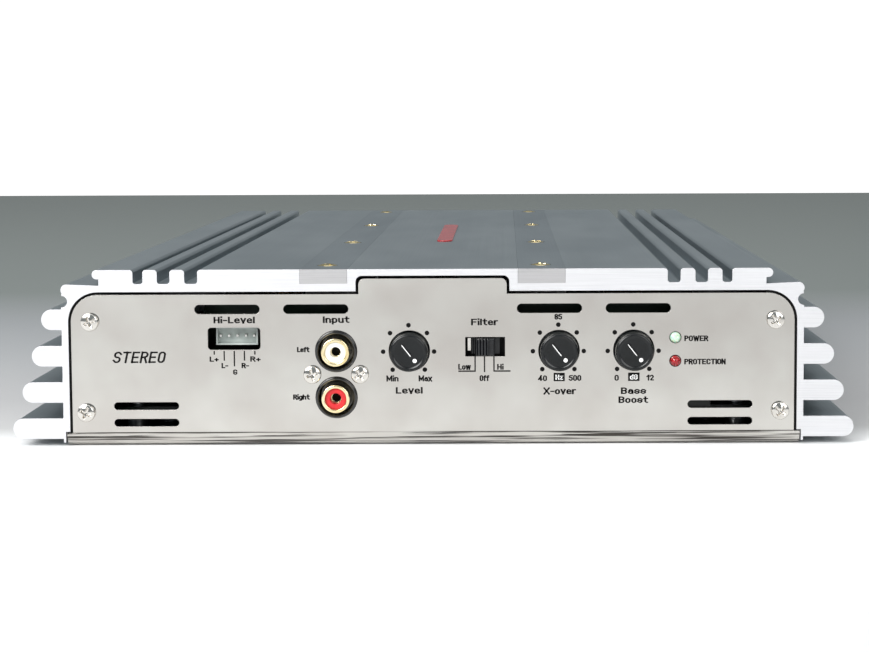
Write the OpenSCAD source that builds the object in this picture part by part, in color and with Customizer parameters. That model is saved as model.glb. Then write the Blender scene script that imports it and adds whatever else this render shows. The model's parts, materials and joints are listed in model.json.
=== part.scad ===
// Two-channel car audio amplifier in an extruded heatsink case.
// X runs to the right along the control panel, Y from the control panel to the rear, Z upwards.
// The origin is on the underside, at the middle of the floor. Millimetres throughout.

/* [Case] */
// Length of the heatsink extrusion, front to rear
case_len = 300; // [260:1:420]
// Width over the heatsink's side walls, without the fins
case_w = 220; // [216:1:300]
// Height of the heatsink's top face above the underside
case_h = 52.7; // [51:0.1:70]
// Thickness of the heatsink's side walls
wall_t = 2; // [1.6:0.1:4]
// Thickness of the heatsink's top, over the flat ceiling
top_t = 6.6; // [6:0.1:9]
// Thickness of the sheet steel of the panels and the floor
sheet_t = 1.2; // [1.15:0.05:2]
// Gap all round between each panel and the heatsink
panel_gap = 0.8; // [0.4:0.1:1.2]
// Radius of the upper inside corners of the heatsink
corner_r = 8.8; // [4:0.1:12]
// Width of the raised middle of the ceiling
hump_w = 45.5; // [30:0.5:48]
// Height of the raised middle above the ceiling
hump_rise = 4.6; // [2:0.1:4.6]
// Outside radius of the bend along the lower edge of each panel
bend_r = 4; // [3:0.1:6]
// Depth of the flange that each panel turns under the case
flange_d = 14; // [10:0.5:20]

/* [Fins] */
// Thickness of a side fin
fin_t = 6.15; // [4:0.05:7]
// Spacing of the side fins
fin_pitch = 10.86; // [9:0.01:14]
// Height of the lowest fin's underside
fin_low_z = 2.3; // [2:0.1:6]
// Reach of the lowest fin beyond the side wall
fin_reach = 15; // [13:0.5:25]
// How much shorter each fin is than the one below
fin_step = 3; // [0:0.5:4]
// Thickness of the fin at the upper corner
rim_fin_t = 3.4; // [2.5:0.1:4]
// Thickness of the lip along each edge of the top
lip_t = 2.75; // [2:0.05:3.2]
// Distance from the side wall in to the lip's edge
lip_inset = 9.2; // [6:0.1:20]
// Depth of the grooves in the top
groove_d = 4.2; // [2:0.1:4.6]

/* [Top bars] */
// Distance of each bar from the middle
bar_x = 32.3; // [31:0.1:45]
// Width of each bar
bar_w = 14; // [10:0.1:15]
// Thickness of each bar
bar_t = 4.3; // [2:0.1:4.4]
// Clearance on each side of a bar
bar_gap = 0.05; // [0.02:0.01:0.3]
// Distance of the end screws of a bar from the end of the case
bar_screw_end = 14; // [14:0.5:30]
// Length of the badge on the top
badge_len = 86; // [20:1:180]
// Width of the badge on the top
badge_w = 5.5; // [3:0.5:20]

/* [Screws] */
// Radius of a machine screw's thread
screw_r = 1.5; // [1.5:0.1:2]
// Radius of a panel screw's head
head_r = 2.65; // [2.4:0.05:3]
// Radius of a bar screw's head
bar_head_r = 3; // [2.6:0.1:4]
// Height of a screw head
head_h = 1.9; // [1:0.1:2.5]
// Clearance round a screw where it only passes through
screw_gap = 0.2; // [0.1:0.05:0.4]
// Tapping radius of the threads in the mounting nuts
foot_thread_r = 1.65; // [1.65:0.05:2.5]
// Spacing of the mounting nuts across the case
foot_dx = 170; // [100:1:180]
// Spacing of the mounting nuts along the case
foot_dy = 220; // [100:1:230]

/* [Front panel] */
// Length of an upper vent slot
vent_l = 19.3; // [10:0.1:22]
// Height of an upper vent slot
vent_h = 2.8; // [1.5:0.1:3]
// Height of a lower vent slot
low_vent_h = 2.3; // [1.5:0.1:3]
// Height of the knobs' and the upper jack's axes
knob_z = 28.3; // [26:0.1:30]
// Place of the level knob
level_x = -7; // [-10:0.1:-5]
// Place of the crossover knob
crossover_x = 37.4; // [34:0.1:40]
// Place of the bass boost knob
boost_x = 59.6; // [55:0.1:62]
// Place of the filter switch
switch_x = 15.5; // [13:0.1:17]
// Place of the twin jack
jack_x = -28.7; // [-32:0.1:-26]
// Spacing of the two jacks, one above the other
jack_pitch = 13.8; // [13:0.1:14]
// Place of the speaker-level header
header_x = -58.6; // [-62:0.1:-55]
// Place of the two lamps
led_x = 71.9; // [70:0.1:90]

/* [Controls] */
// Radius of a knob at its skirt
knob_r = 5.75; // [5:0.05:6.2]
// Height of a knob in front of the panel
knob_h = 5; // [3:0.1:8]
// Radius of a control's shaft
shaft_r = 3; // [2:0.1:3.2]
// Running clearance of the shafts, on radius
shaft_gap = 0.05; // [0.02:0.01:0.1]
// Half the travel of the filter switch
switch_travel = 2.8; // [2:0.1:3]
// Length of the filter switch's lever along its slot
lever_l = 5.5; // [4:0.1:6]
// Radius of a jack's metal shell
shell_r = 4.15; // [4:0.05:4.3]
// Length of a jack's shell in front of the panel
shell_h = 3.6; // [2:0.1:10]
// Radius of a jack's centre hole
contact_r = 1.6; // [1.5:0.05:1.8]

/* [Boards] */
// Height of the standoffs under the main board
standoff_h = 6; // [5:0.5:7]
// Thickness of the boards
board_t = 1.6; // [1:0.1:2]
// Depth from the panel's front to the control board
control_depth = 14.4; // [14.4:0.1:18]
// Outside radius of the toroid core
core_r = 19; // [12:0.5:22]
// Height of the toroid core
core_h = 16; // [8:0.5:20]
// Radius of a filter capacitor
cap_r = 9; // [6:0.5:10]
// Height of a filter capacitor
cap_h = 30; // [15:1:34]

/* [Rear] */
// Spacing of the ways of the power terminal strip
power_pitch = 13; // [11:0.5:14]
// Spacing of the ways of the speaker terminal strip
speaker_pitch = 10.5; // [9:0.5:11]
// Height of the terminal strips
strip_h = 17; // [14:0.5:20]
// How far the strips' dividers stand out of the rear panel
divider_out = 7; // [5:0.5:10]
// Width of a blade fuse
fuse_w = 19.1; // [18:0.1:20]
// Thickness of a blade fuse
fuse_t = 5.1; // [4:0.1:6]
// Clearance round a fuse in its holder
fuse_gap = 0.35; // [0.3:0.05:0.6]

/* [Hidden] */
$fn = 64;
eps = 0.01;

front_y = -case_len / 2;
rear_y = case_len / 2;
wall_x = case_w / 2;
in_x = wall_x - wall_t;
ceiling_z = case_h - top_t;
hump_x = hump_w / 2;
hump_z = ceiling_z + hump_rise;
hump_r = 1.8;
panel_top_z = ceiling_z - panel_gap;
tray_x = in_x + 1;
plate_gap = 0.3;
bend_gap = 0.4;

rim_fin_z = ceiling_z - 1.05;
rim_fin_x = wall_x + 0.1;
lip_x = wall_x - lip_inset;
lip_root_x = lip_x - 2;
rim_slant = 0.45;
scoop_r = 1.7;
scoop_x = wall_x - 0.1;
scoop_z = rim_fin_z - scoop_r;
side_fins = floor((scoop_z - 2.2 - fin_low_z - fin_t) / fin_pitch) + 1;
function fin_z(i) = fin_low_z + i * fin_pitch;
wall_top_z = scoop_z - 0.8;

groove_spans = [[69.6, 73.4], [77.8, 81.5], [85.8, 88.7]];
groove_bottom_r = 0.8;
groove_edge_r = 1;

tap_r = screw_r - 0.25;
pass_r = screw_r + screw_gap;
boss_r = 3.2;
boss_hi = [in_x - 6.5, ceiling_z - corner_r];
boss_lo = [in_x - 5, 10.2];
rail_w = 7;
rail_top = 8;
cross_w = 0.9;
cross_d = 1;
panel_screw_l = 9;

bar_screw_gap = (case_len - 2 * bar_screw_end) / 3;
bar_screw_ys = [for (i = [0:3]) front_y + bar_screw_end + i * bar_screw_gap];
bar_head_in = 1.4;

floor_screw_ys = [front_y + 32, -case_len / 8, case_len / 8, rear_y - 32];
floor_screw_x = in_x - 3;
flat_head_r = 2.45;
flat_screw_r = 1.35;
flat_cone_h = flat_head_r - flat_screw_r;
flat_screw_l = 6;
nut_r = 4.2;
nut_h = 2.6;
nut_shank_r = 2.7;

vent_z = panel_top_z - 4.4;
vent_xs = [-60.9, -34.6, 34.6, 60.9];
low_vent_x = in_x - 22.8;
low_vent_zs = [7.1, 12.1];

board_z = sheet_t + standoff_h;
board_top = board_z + board_t;
board_x = boss_lo[0] - boss_r - 2;
board_y0 = front_y + control_depth + board_t + 2.4;
board_y1 = rear_y - sheet_t - 1;
standoff_x = board_x - 5;
standoff_ys = [board_y0 + 6, 0, board_y1 - 24];
standoff_r = 3;

control_y = front_y + control_depth;
control_x0 = -70;
control_x1 = 84;
control_top = ceiling_z - 3;
control_z0 = board_top + 0.4;

knob_back = 2.2;
knob_hole_r = knob_r + 0.4;
knob_face_r = knob_r - 0.45;
knob_bevel = 0.5;
knob_skirt_h = 2;
pointer_w = 0.7;
pointer_d = 0.4;
knob_bore_d = 3.6;
pointer_turn = 142;
pot_w = 10.5;
pot_h = 11;
pot_d = 6.8;
bushing_r = 4.6;
bushing_top = knob_back + 0.8;
shaft_back = control_depth - 2;

lever_h = 5.1;
lever_gap = 0.35;
lever_out = 2.2;
switch_w = 19;
switch_h = 8.4;
switch_front = 5;
switch_z = knob_z + 1.2;
stem_l = 4;
stem_h = 3.4;
slot_l = lever_l + 2 * switch_travel + 2 * lever_gap;
slot_h = lever_h + 2 * lever_gap;

led_r = 1.6;
led_hole_r = 1.8;
led_zs = [knob_z - 3.2, knob_z + 3.8];
led_flange_r = 2.1;

jack_zs = [knob_z, knob_z - jack_pitch];
collar_r = 6.12;
collar_out = 1.2;
jack_w = 13;
jack_d = 12.6;
jack_root = sheet_t + 6;
jack_recess = 4;
collar_in_r = shell_r + 1.05;
contact_root = jack_root + 5;
shell_t = 1;
shell_tail_r = shell_r - 0.2;
insulator_r = shell_r - shell_t;
insulator_set = 0.7;
contact_t = 0.6;
jack_screw_dx = 7.05;
jack_screw_z = knob_z - jack_pitch / 2;
jack_screw_l = 8;

header_z = knob_z + 4.15;
header_w = 12.4;
header_h = 5.2;
header_set = 3.8;
header_wall = 0.7;
header_floor = 3;
pin_pitch = 2.5;
pin_side = 0.64;
window_w = 15.6;
window_h = 6.6;
window_x = header_x - 0.3;
window_z = header_z - 0.3;
window_r = 1;

spreader_t = 3;
spreader_w = 16;
spreader_x = bar_x + spreader_w / 2;
spreader_drop = ceiling_z - board_top - 5;
spreader_end = 8;
spreader_y0 = control_y + board_t + spreader_end;
spreader_y1 = rear_y - 26;
pad_t = 0.3;
pad_end = 8;
fet_w = 10.2;
fet_h = 9.2;
fet_t = 4.4;
fet_tab_t = 1.3;
fet_tab_h = 6.3;
fet_z = board_top + 6.5;
fet_count = 10;
fet_end = 20;
fet_pitch = (spreader_y1 - spreader_y0 - 2 * fet_end) / (fet_count - 1);
fet_ys = [for (i = [0:fet_count - 1]) spreader_y0 + fet_end + i * fet_pitch];
output_ys = [for (i = [0:fet_count / 2 - 1]) fet_ys[i]];
supply_ys = [for (i = [fet_count / 2:fet_count - 1]) fet_ys[i]];
fet_hole_r = 1.8;
lead_side = 0.8;
lead_pitch = 2.54;

core_in_r = core_r * 0.55;
winding_t = 1.8;
toroid_y = 40;
toroid_z = board_top + winding_t + 0.2;
cap_ys = [-70, -48, -26, -4];
cap_x = 12.5;
input_cap_ys = [78, 100];
choke_r = 8;
chip_xs = [-88, -70, 60, 78];

power_x = -58;
power_ways = 3;
speaker_x = 58;
speaker_ways = 4;
divider_t = 1.8;
strip_z0 = board_top;
strip_d = 13;
plate_t = 1.2;
plate_w = 6.4;
plate_set = 2;
term_head_r = 3;
term_screw_l = 8;
strip_gap = 0.4;

fuse_zs = [board_top + 6.5, board_top + 18.5];
fuse_body_l = 12;
fuse_out = 6;
fuse_in = fuse_body_l - fuse_out;
blade_w = 5.2;
blade_t = 0.65;
blade_l = 6.5;
blade_dx = 6.8;
blade_gap = 0.12;
holder_w = 25;
holder_d = 15;
holder_top = fuse_zs[1] + 6;
contact_w = 6.6;
contact_l = 7;
contact_h = 3;
contact_z = -fuse_in - fuse_gap - contact_l;

// ---------- helpers ----------

// A flat shape in X and Z, carried from y0 to y1.
module along_y(y0, y1) {
    translate([0, y1, 0]) rotate([90, 0, 0]) linear_extrude(y1 - y0) children();
}

// A flat shape in Y and Z, carried from x0 to x1.
module along_x(x0, x1) {
    translate([x0, 0, 0]) rotate([90, 0, 90]) linear_extrude(x1 - x0) children();
}

// Its children, and their mirror image in the other half of the case.
module both_sides() {
    children();
    mirror([1, 0, 0]) children();
}

// Its children, turned so that their +Z looks out of the front panel's face at x, z.
module at_front(x, z) {
    translate([x, front_y, z]) rotate([90, 0, 0]) children();
}

// Its children, turned so that their +Z looks out of the rear panel's face at x, z.
module at_rear(x, z) {
    translate([x, rear_y, z]) rotate([-90, 0, 0]) children();
}

// A box from one corner to the other.
module block(low, high) {
    translate(low) cube(high - low);
}

// A flat rectangle centred on the origin, with round corners.
module round_rect(w, h, r) {
    square([w - 2 * r, h], center = true);
    square([w, h - 2 * r], center = true);
    for (x = [-1, 1], z = [-1, 1]) {
        translate([x * (w / 2 - r), z * (h / 2 - r)]) circle(r);
    }
}

// A slot with full-round ends, centred on the origin.
module slot(l, h) {
    square([l - h, h], center = true);
    for (x = [-1, 1]) {
        translate([x * (l - h) / 2, 0]) circle(h / 2);
    }
}

// A pan-head screw along Z, its head's underside at zero and its shank below.
module pan_screw(r, shank_l, shank_r = screw_r) {
    difference() {
        union() {
            cylinder(h = head_h * 0.45, r = r);
            translate([0, 0, head_h * 0.45]) cylinder(h = head_h * 0.55, r1 = r, r2 = r * 0.62);
            translate([0, 0, -shank_l]) cylinder(h = shank_l + eps, r = shank_r);
        }
        translate([0, 0, head_h]) cube([r * 1.05, cross_w, 2 * cross_d], center = true);
        translate([0, 0, head_h]) cube([cross_w, r * 1.05, 2 * cross_d], center = true);
    }
}

// ---------- case ----------

// Inside opening of the heatsink, made smaller all round by a gap.
module opening_2d(gap) {
    side = in_x - gap;
    translate([-side, -1]) square([2 * side, ceiling_z - corner_r + 1]);
    translate([-(in_x - corner_r), -1]) square([2 * (in_x - corner_r), ceiling_z - gap + 1]);
    for (x = [-1, 1]) {
        translate([x * (in_x - corner_r), ceiling_z - corner_r]) circle(corner_r - gap);
    }
    hump_side = hump_x - gap;
    translate([-hump_side, 0]) square([2 * hump_side, hump_z - gap - hump_r]);
    translate([-(hump_side - hump_r), 0]) square([2 * (hump_side - hump_r), hump_z - gap]);
    for (x = [-1, 1]) {
        translate([x * (hump_side - hump_r), hump_z - gap - hump_r]) circle(hump_r);
    }
}

// One groove in the top, with a rounded bottom and rounded edges.
module groove_2d(x0, x1) {
    z0 = case_h - groove_d;
    r = groove_bottom_r;
    translate([x0 + r, z0]) square([x1 - x0 - 2 * r, groove_d + 1]);
    translate([x0, z0 + r]) square([x1 - x0, groove_d + 1 - r]);
    for (x = [x0 + r, x1 - r]) {
        translate([x, z0 + r]) circle(r);
    }
    e = groove_edge_r;
    for (x = [x0 - e, x1 + e]) {
        difference() {
            translate([min(x, x0 + x1 - x) == x ? x : x - e, case_h - e]) square([e, e + 1]);
            translate([x, case_h - e]) circle(e);
        }
    }
}

// Half of the heatsink's section, still without its inside.
module half_section_2d() {
    translate([in_x - 1, sheet_t]) square([wall_t + 1, wall_top_z - sheet_t]);
    translate([0, ceiling_z - corner_r - 2]) square([scoop_x, corner_r + 2 - rim_slant]);
    translate([0, ceiling_z - 3]) square([lip_root_x, top_t + 3]);
    // lip along the edge of the top
    translate([lip_root_x - 1, case_h - lip_t]) square([lip_x - lip_t / 2 - lip_root_x + 1, lip_t]);
    translate([lip_x - lip_t / 2, case_h - lip_t / 2]) circle(lip_t / 2);
    // fin at the upper corner, rising slightly to its round tip
    rim_tip = rim_fin_x - rim_fin_t / 2;
    polygon([
        [lip_root_x - 1, rim_fin_z], [rim_tip, rim_fin_z],
        [rim_tip, rim_fin_z + rim_fin_t], [lip_root_x - 1, rim_fin_z + rim_fin_t - rim_slant]
    ]);
    translate([rim_tip, rim_fin_z + rim_fin_t / 2]) circle(rim_fin_t / 2);
    for (i = [0:side_fins - 1]) {
        tip = wall_x + fin_reach - i * fin_step - fin_t / 2;
        translate([wall_x - 1, fin_z(i)]) square([tip - wall_x + 1, fin_t]);
        translate([tip, fin_z(i) + fin_t / 2]) circle(fin_t / 2);
    }
}

module heatsink_2d() {
    difference() {
        both_sides() difference() {
            half_section_2d();
            translate([scoop_x, scoop_z]) circle(scoop_r);
            for (span = groove_spans) {
                groove_2d(span[0], span[1]);
            }
            translate([bar_x - bar_w / 2 - bar_gap, case_h - bar_t])
                square([bar_w + 2 * bar_gap, bar_t + 1]);
        }
        opening_2d(0);
    }
}

// Screw bosses inside the heatsink, for the panels and the floor.
module bosses_2d() {
    both_sides() difference() {
        union() {
            translate(boss_hi) circle(boss_r);
            translate(boss_hi) square([in_x - boss_hi[0] + wall_t / 2, boss_r]);
            translate(boss_hi) square([boss_r, corner_r - 0.6]);
            translate(boss_lo) circle(boss_r);
            translate([boss_lo[0], boss_lo[1] - boss_r])
                square([in_x - boss_lo[0] + wall_t / 2, 2 * boss_r]);
            translate([in_x - rail_w, sheet_t]) square([rail_w + wall_t / 2, rail_top - sheet_t]);
        }
        translate(boss_hi) circle(tap_r);
        translate(boss_lo) circle(tap_r);
    }
}

module heatsink() {
    color("silver") difference() {
        union() {
            along_y(front_y, rear_y) heatsink_2d();
            along_y(front_y + bend_r + bend_gap, rear_y - bend_r - bend_gap) bosses_2d();
            along_y(front_y + sheet_t, rear_y - sheet_t) intersection() {
                bosses_2d();
                translate([-wall_x, bend_r + bend_gap]) square([case_w, case_h]);
            }
        }
        // room for the rolled edges of the panels at both ends
        for (x = [-1, 1], y = [-1, 1]) {
            translate([x * in_x, y * rear_y, (bend_r + bend_gap) / 2])
                cube([2 * (tray_x + plate_gap - in_x), 2 * (bend_r + bend_gap), bend_r + bend_gap],
                    center = true);
        }
        for (x = [-1, 1], y = bar_screw_ys) {
            translate([x * bar_x, y, ceiling_z - 1]) cylinder(h = top_t + 2, r = pass_r);
        }
        for (x = [-1, 1], y = floor_screw_ys) {
            translate([x * floor_screw_x, y, 0]) cylinder(h = flat_screw_l + 0.5, r = flat_screw_r - 0.1);
        }
    }
}

module top_bar(side) {
    color("lightslategray") difference() {
        block([side * bar_x - bar_w / 2, front_y, case_h - bar_t],
            [side * bar_x + bar_w / 2, rear_y, case_h]);
        for (y = bar_screw_ys) {
            translate([side * bar_x, y, case_h - bar_t - 1]) cylinder(h = bar_t + 2, r = pass_r);
            translate([side * bar_x, y, case_h - bar_head_in])
                cylinder(h = bar_t, r = bar_head_r + screw_gap);
        }
    }
}

module bar_screws() {
    color("gold") for (x = [-1, 1], y = bar_screw_ys) {
        translate([x * bar_x, y, case_h - bar_head_in])
            pan_screw(bar_head_r, top_t + spreader_t - bar_head_in - 0.3);
    }
}

module top_badge() {
    color("firebrick") translate([0, 0, case_h]) linear_extrude(0.4) rotate(90) slot(badge_len, badge_w);
}

// Blank of the front panel: face, rolled lower edge and the flange under the case.
module panel_blank() {
    along_y(front_y, front_y + sheet_t) intersection() {
        opening_2d(panel_gap);
        translate([-case_w, bend_r]) square([2 * case_w, case_h]);
    }
    along_x(-tray_x, tray_x) {
        translate([front_y + bend_r, bend_r]) intersection() {
            difference() {
                circle(bend_r);
                circle(bend_r - sheet_t);
            }
            translate([-bend_r, -bend_r]) square(bend_r);
        }
        translate([front_y + bend_r, 0]) square([flange_d - bend_r, sheet_t]);
    }
}

module panel_screw_holes() {
    for (x = [-1, 1], b = [boss_hi, boss_lo]) {
        translate([x * b[0], b[1]]) circle(pass_r);
    }
}

module low_vents() {
    for (x = [-1, 1], z = low_vent_zs) {
        translate([x * low_vent_x, z]) slot(vent_l, low_vent_h);
    }
}

module upper_vents() {
    for (x = vent_xs) {
        translate([x, vent_z]) slot(vent_l, vent_h);
    }
}

module front_panel() {
    color("gainsboro") difference() {
        panel_blank();
        along_y(front_y - 1, front_y + sheet_t + 1) {
            panel_screw_holes();
            low_vents();
            upper_vents();
            translate([window_x, window_z]) round_rect(window_w, window_h, window_r);
            for (z = jack_zs) {
                translate([jack_x, z]) circle(collar_r + 0.15);
            }
            for (x = [-1, 1]) {
                translate([jack_x + x * jack_screw_dx, jack_screw_z]) circle(pass_r);
            }
            for (x = [level_x, crossover_x, boost_x]) {
                translate([x, knob_z]) circle(knob_hole_r);
            }
            translate([switch_x, switch_z]) square([slot_l, slot_h], center = true);
            for (z = led_zs) {
                translate([led_x, z]) circle(led_hole_r);
            }
        }
    }
}

// Height range of the terminal strips' window and of the fuse holder's window.
module strip_window(x, ways, pitch) {
    translate([x, strip_z0 + strip_h / 2])
        square([ways * pitch + divider_t + 2 * strip_gap, strip_h + 2 * strip_gap], center = true);
}

module rear_panel() {
    color("gainsboro") difference() {
        mirror([0, 1, 0]) panel_blank();
        along_y(rear_y - sheet_t - 1, rear_y + 1) {
            panel_screw_holes();
            low_vents();
            upper_vents();
            strip_window(power_x, power_ways, power_pitch);
            strip_window(speaker_x, speaker_ways, speaker_pitch);
            for (z = fuse_zs) {
                translate([0, z]) square([fuse_w + 2 * fuse_gap, fuse_t + 2 * fuse_gap], center = true);
            }
        }
    }
}

module front_panel_screws() {
    color("lightgray") for (x = [-1, 1], b = [boss_hi, boss_lo]) {
        at_front(x * b[0], b[1]) pan_screw(head_r, panel_screw_l, tap_r);
    }
}

module rear_panel_screws() {
    color("lightgray") for (x = [-1, 1], b = [boss_hi, boss_lo]) {
        at_rear(x * b[0], b[1]) pan_screw(head_r, panel_screw_l, tap_r);
    }
}

module bottom_plate() {
    y = rear_y - flange_d - plate_gap;
    color("dimgray") difference() {
        block([-tray_x, -y, 0], [tray_x, y, sheet_t]);
        for (x = [-1, 1], sy = floor_screw_ys) {
            translate([x * floor_screw_x, sy, -eps])
                cylinder(h = flat_cone_h, r1 = flat_head_r, r2 = flat_screw_r);
            translate([x * floor_screw_x, sy, -1]) cylinder(h = 4, r = flat_screw_r);
        }
        for (x = [-1, 1], fy = [-1, 1]) {
            translate([x * foot_dx / 2, fy * foot_dy / 2, -1]) cylinder(h = 4, r = nut_shank_r);
        }
        for (x = [-1, 1], sy = standoff_ys) {
            translate([x * standoff_x, sy, -1]) cylinder(h = 4, r = tap_r);
        }
    }
}

module floor_screws() {
    color("lightgray") for (x = [-1, 1], y = floor_screw_ys) {
        translate([x * floor_screw_x, y, 0]) difference() {
            union() {
                cylinder(h = flat_cone_h, r1 = flat_head_r - 0.02, r2 = flat_screw_r - 0.12);
                cylinder(h = flat_screw_l, r = flat_screw_r - 0.12);
            }
            cube([2.6, 0.7, 1.2], center = true);
            cube([0.7, 2.6, 1.2], center = true);
        }
    }
}

module mounting_nuts() {
    color("silver") for (x = [-1, 1], y = [-1, 1]) {
        translate([x * foot_dx / 2, y * foot_dy / 2, 0]) difference() {
            union() {
                cylinder(h = sheet_t, r = nut_shank_r);
                translate([0, 0, sheet_t]) cylinder(h = nut_h, r = nut_r);
            }
            translate([0, 0, -1]) cylinder(h = sheet_t + nut_h + 2, r = foot_thread_r);
        }
    }
}

// ---------- boards ----------

module main_board() {
    color("darkgreen") difference() {
        block([-board_x, board_y0, board_z], [board_x, board_y1, board_top]);
        for (x = [-1, 1], y = standoff_ys) {
            translate([x * standoff_x, y, board_z - 1]) cylinder(h = board_t + 2, r = pass_r);
        }
    }
}

module standoffs() {
    color("silver") for (x = [-1, 1], y = standoff_ys) {
        translate([x * standoff_x, y, sheet_t]) difference() {
            cylinder(h = standoff_h, r = standoff_r);
            translate([0, 0, -1]) cylinder(h = standoff_h + 2, r = tap_r);
        }
    }
}

module board_screws() {
    color("lightgray") for (x = [-1, 1], y = standoff_ys) {
        translate([x * standoff_x, y, board_top]) pan_screw(head_r, standoff_h - 0.5, tap_r);
    }
}

module control_board() {
    color("darkgreen")
        block([control_x0, control_y, control_z0], [control_x1, control_y + board_t, control_top]);
}

// Right-angle pins that carry the control board on the main board.
module board_link() {
    color("black") for (x = [-48, 22, 70]) {
        block([x, control_y + board_t, board_top], [x + 14, control_y + board_t + 5, board_top + 2.5]);
    }
}

// ---------- inputs ----------

// Black collar of each jack and the block that carries both.
module jack_body() {
    color("black") difference() {
        union() {
            block([jack_x - jack_w / 2, front_y + sheet_t, board_top],
                [jack_x + jack_w / 2, front_y + sheet_t + jack_d, knob_z + collar_r]);
            for (z = jack_zs) {
                at_front(jack_x, z) translate([0, 0, -sheet_t - eps])
                    cylinder(h = collar_out + sheet_t, r = collar_r);
            }
            for (x = [-1, 1]) {
                at_front(jack_x + x * jack_screw_dx, jack_screw_z)
                    translate([0, 0, -sheet_t - jack_screw_l]) cylinder(h = jack_screw_l, r = boss_r);
            }
        }
        for (z = jack_zs) {
            at_front(jack_x, z) {
                translate([0, 0, -jack_recess]) cylinder(h = 20, r = collar_in_r);
                translate([0, 0, -jack_root]) cylinder(h = 20, r = shell_tail_r);
                translate([0, 0, -contact_root]) cylinder(h = 20, r = contact_r + contact_t);
            }
        }
        for (x = [-1, 1]) {
            at_front(jack_x + x * jack_screw_dx, jack_screw_z)
                translate([0, 0, -sheet_t - jack_screw_l + 1]) cylinder(h = 20, r = tap_r);
        }
    }
}

module jack_shells() {
    color("gold") for (z = jack_zs) {
        at_front(jack_x, z) difference() {
            union() {
                translate([0, 0, -jack_recess]) cylinder(h = jack_recess + shell_h, r = shell_r);
                translate([0, 0, -jack_root]) cylinder(h = jack_root + shell_h, r = shell_tail_r);
            }
            translate([0, 0, -jack_root - 1]) cylinder(h = jack_root + shell_h + 2, r = insulator_r);
        }
    }
}

module jack_insulator(z) {
    at_front(jack_x, z) translate([0, 0, -jack_root]) difference() {
        cylinder(h = jack_root + shell_h - insulator_set, r = insulator_r);
        translate([0, 0, -1]) cylinder(h = jack_root + shell_h + 2, r = contact_r + contact_t);
    }
}

module jack_contacts() {
    color("gold") for (z = jack_zs) {
        at_front(jack_x, z) translate([0, 0, -contact_root]) difference() {
            cylinder(h = contact_root + shell_h - insulator_set, r = contact_r + contact_t);
            translate([0, 0, 2]) cylinder(h = contact_root + shell_h, r = contact_r);
        }
    }
}

module jack_screws() {
    color("lightgray") for (x = [-1, 1]) {
        at_front(jack_x + x * jack_screw_dx, jack_screw_z)
            pan_screw(head_r, sheet_t + jack_screw_l - 2, tap_r);
    }
}

module input_header() {
    x = header_w / 2;
    z = header_h / 2;
    color("ivory") difference() {
        block([header_x - x, front_y + header_set, header_z - z], [header_x + x, control_y, header_z + z]);
        block([header_x - x + header_wall, front_y + header_set - 1, header_z - z + header_wall],
            [header_x + x - header_wall, control_y - header_floor, header_z + z - header_wall]);
        for (i = [-2:2]) {
            translate([header_x + i * pin_pitch, front_y + control_depth, header_z])
                cube([pin_side, 4 * header_floor, pin_side], center = true);
        }
    }
}

module header_pins() {
    color("silver") for (i = [-2:2]) {
        x = header_x + i * pin_pitch;
        block([x - pin_side / 2, front_y + header_set + 1, header_z - pin_side / 2],
            [x + pin_side / 2, control_y, header_z + pin_side / 2]);
    }
}

// ---------- controls ----------

// Body and bushing of a rotary control.
module pot(x) {
    color("dimgray") at_front(x, knob_z) difference() {
        union() {
            translate([-pot_w / 2, -pot_h / 2, -control_depth]) cube([pot_w, pot_h, pot_d]);
            translate([0, 0, -control_depth + pot_d - eps])
                cylinder(h = control_depth - pot_d - bushing_top, r = bushing_r);
        }
        translate([0, 0, -shaft_back - 0.3]) cylinder(h = control_depth, r = shaft_r + shaft_gap);
    }
}

module control_shaft(x) {
    color("silver") at_front(x, knob_z) translate([0, 0, -shaft_back])
        cylinder(h = shaft_back - knob_back + knob_bore_d, r = shaft_r);
}

// Push-on knob with an engraved pointer; at rest it stands at the end of its travel.
module knob(x) {
    whole_h = knob_h + knob_back;
    bevel_z = whole_h - knob_bevel;
    color("darkslategray") at_front(x, knob_z) translate([0, 0, -knob_back]) difference() {
        union() {
            cylinder(h = knob_skirt_h, r = knob_r);
            translate([0, 0, knob_skirt_h])
                cylinder(h = bevel_z - knob_skirt_h, r1 = knob_r, r2 = knob_face_r);
            translate([0, 0, bevel_z])
                cylinder(h = knob_bevel, r1 = knob_face_r, r2 = knob_face_r - knob_bevel);
        }
        translate([0, 0, -1]) cylinder(h = knob_bore_d + 1, r = shaft_r);
        rotate(-pointer_turn) translate([-pointer_w / 2, 0, whole_h - pointer_d])
            cube([pointer_w, knob_face_r, 1]);
    }
}

module switch_body() {
    color("silver") at_front(switch_x, switch_z) difference() {
        translate([-switch_w / 2, -switch_h / 2, -control_depth])
            cube([switch_w, switch_h, control_depth - switch_front]);
        translate([0, 0, -switch_front]) cube([slot_l + 1, slot_h, 5], center = true);
        translate([0, 0, -switch_front - 2])
            cube([stem_l + 2 * switch_travel + 1, stem_h + 0.5, 9], center = true);
    }
}

module filter_lever() {
    color("black") at_front(switch_x, switch_z) {
        difference() {
            translate([-lever_l / 2, -lever_h / 2, -switch_front - 1.5])
                cube([lever_l, lever_h, switch_front + 1.5 + lever_out]);
            for (i = [-2:2]) {
                translate([i * 1.05, 0, lever_out]) cube([0.5, lever_h + 2, 1.2], center = true);
            }
        }
        translate([-stem_l / 2, -stem_h / 2, -switch_front - 5.5]) cube([stem_l, stem_h, 4.2]);
    }
}

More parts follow.
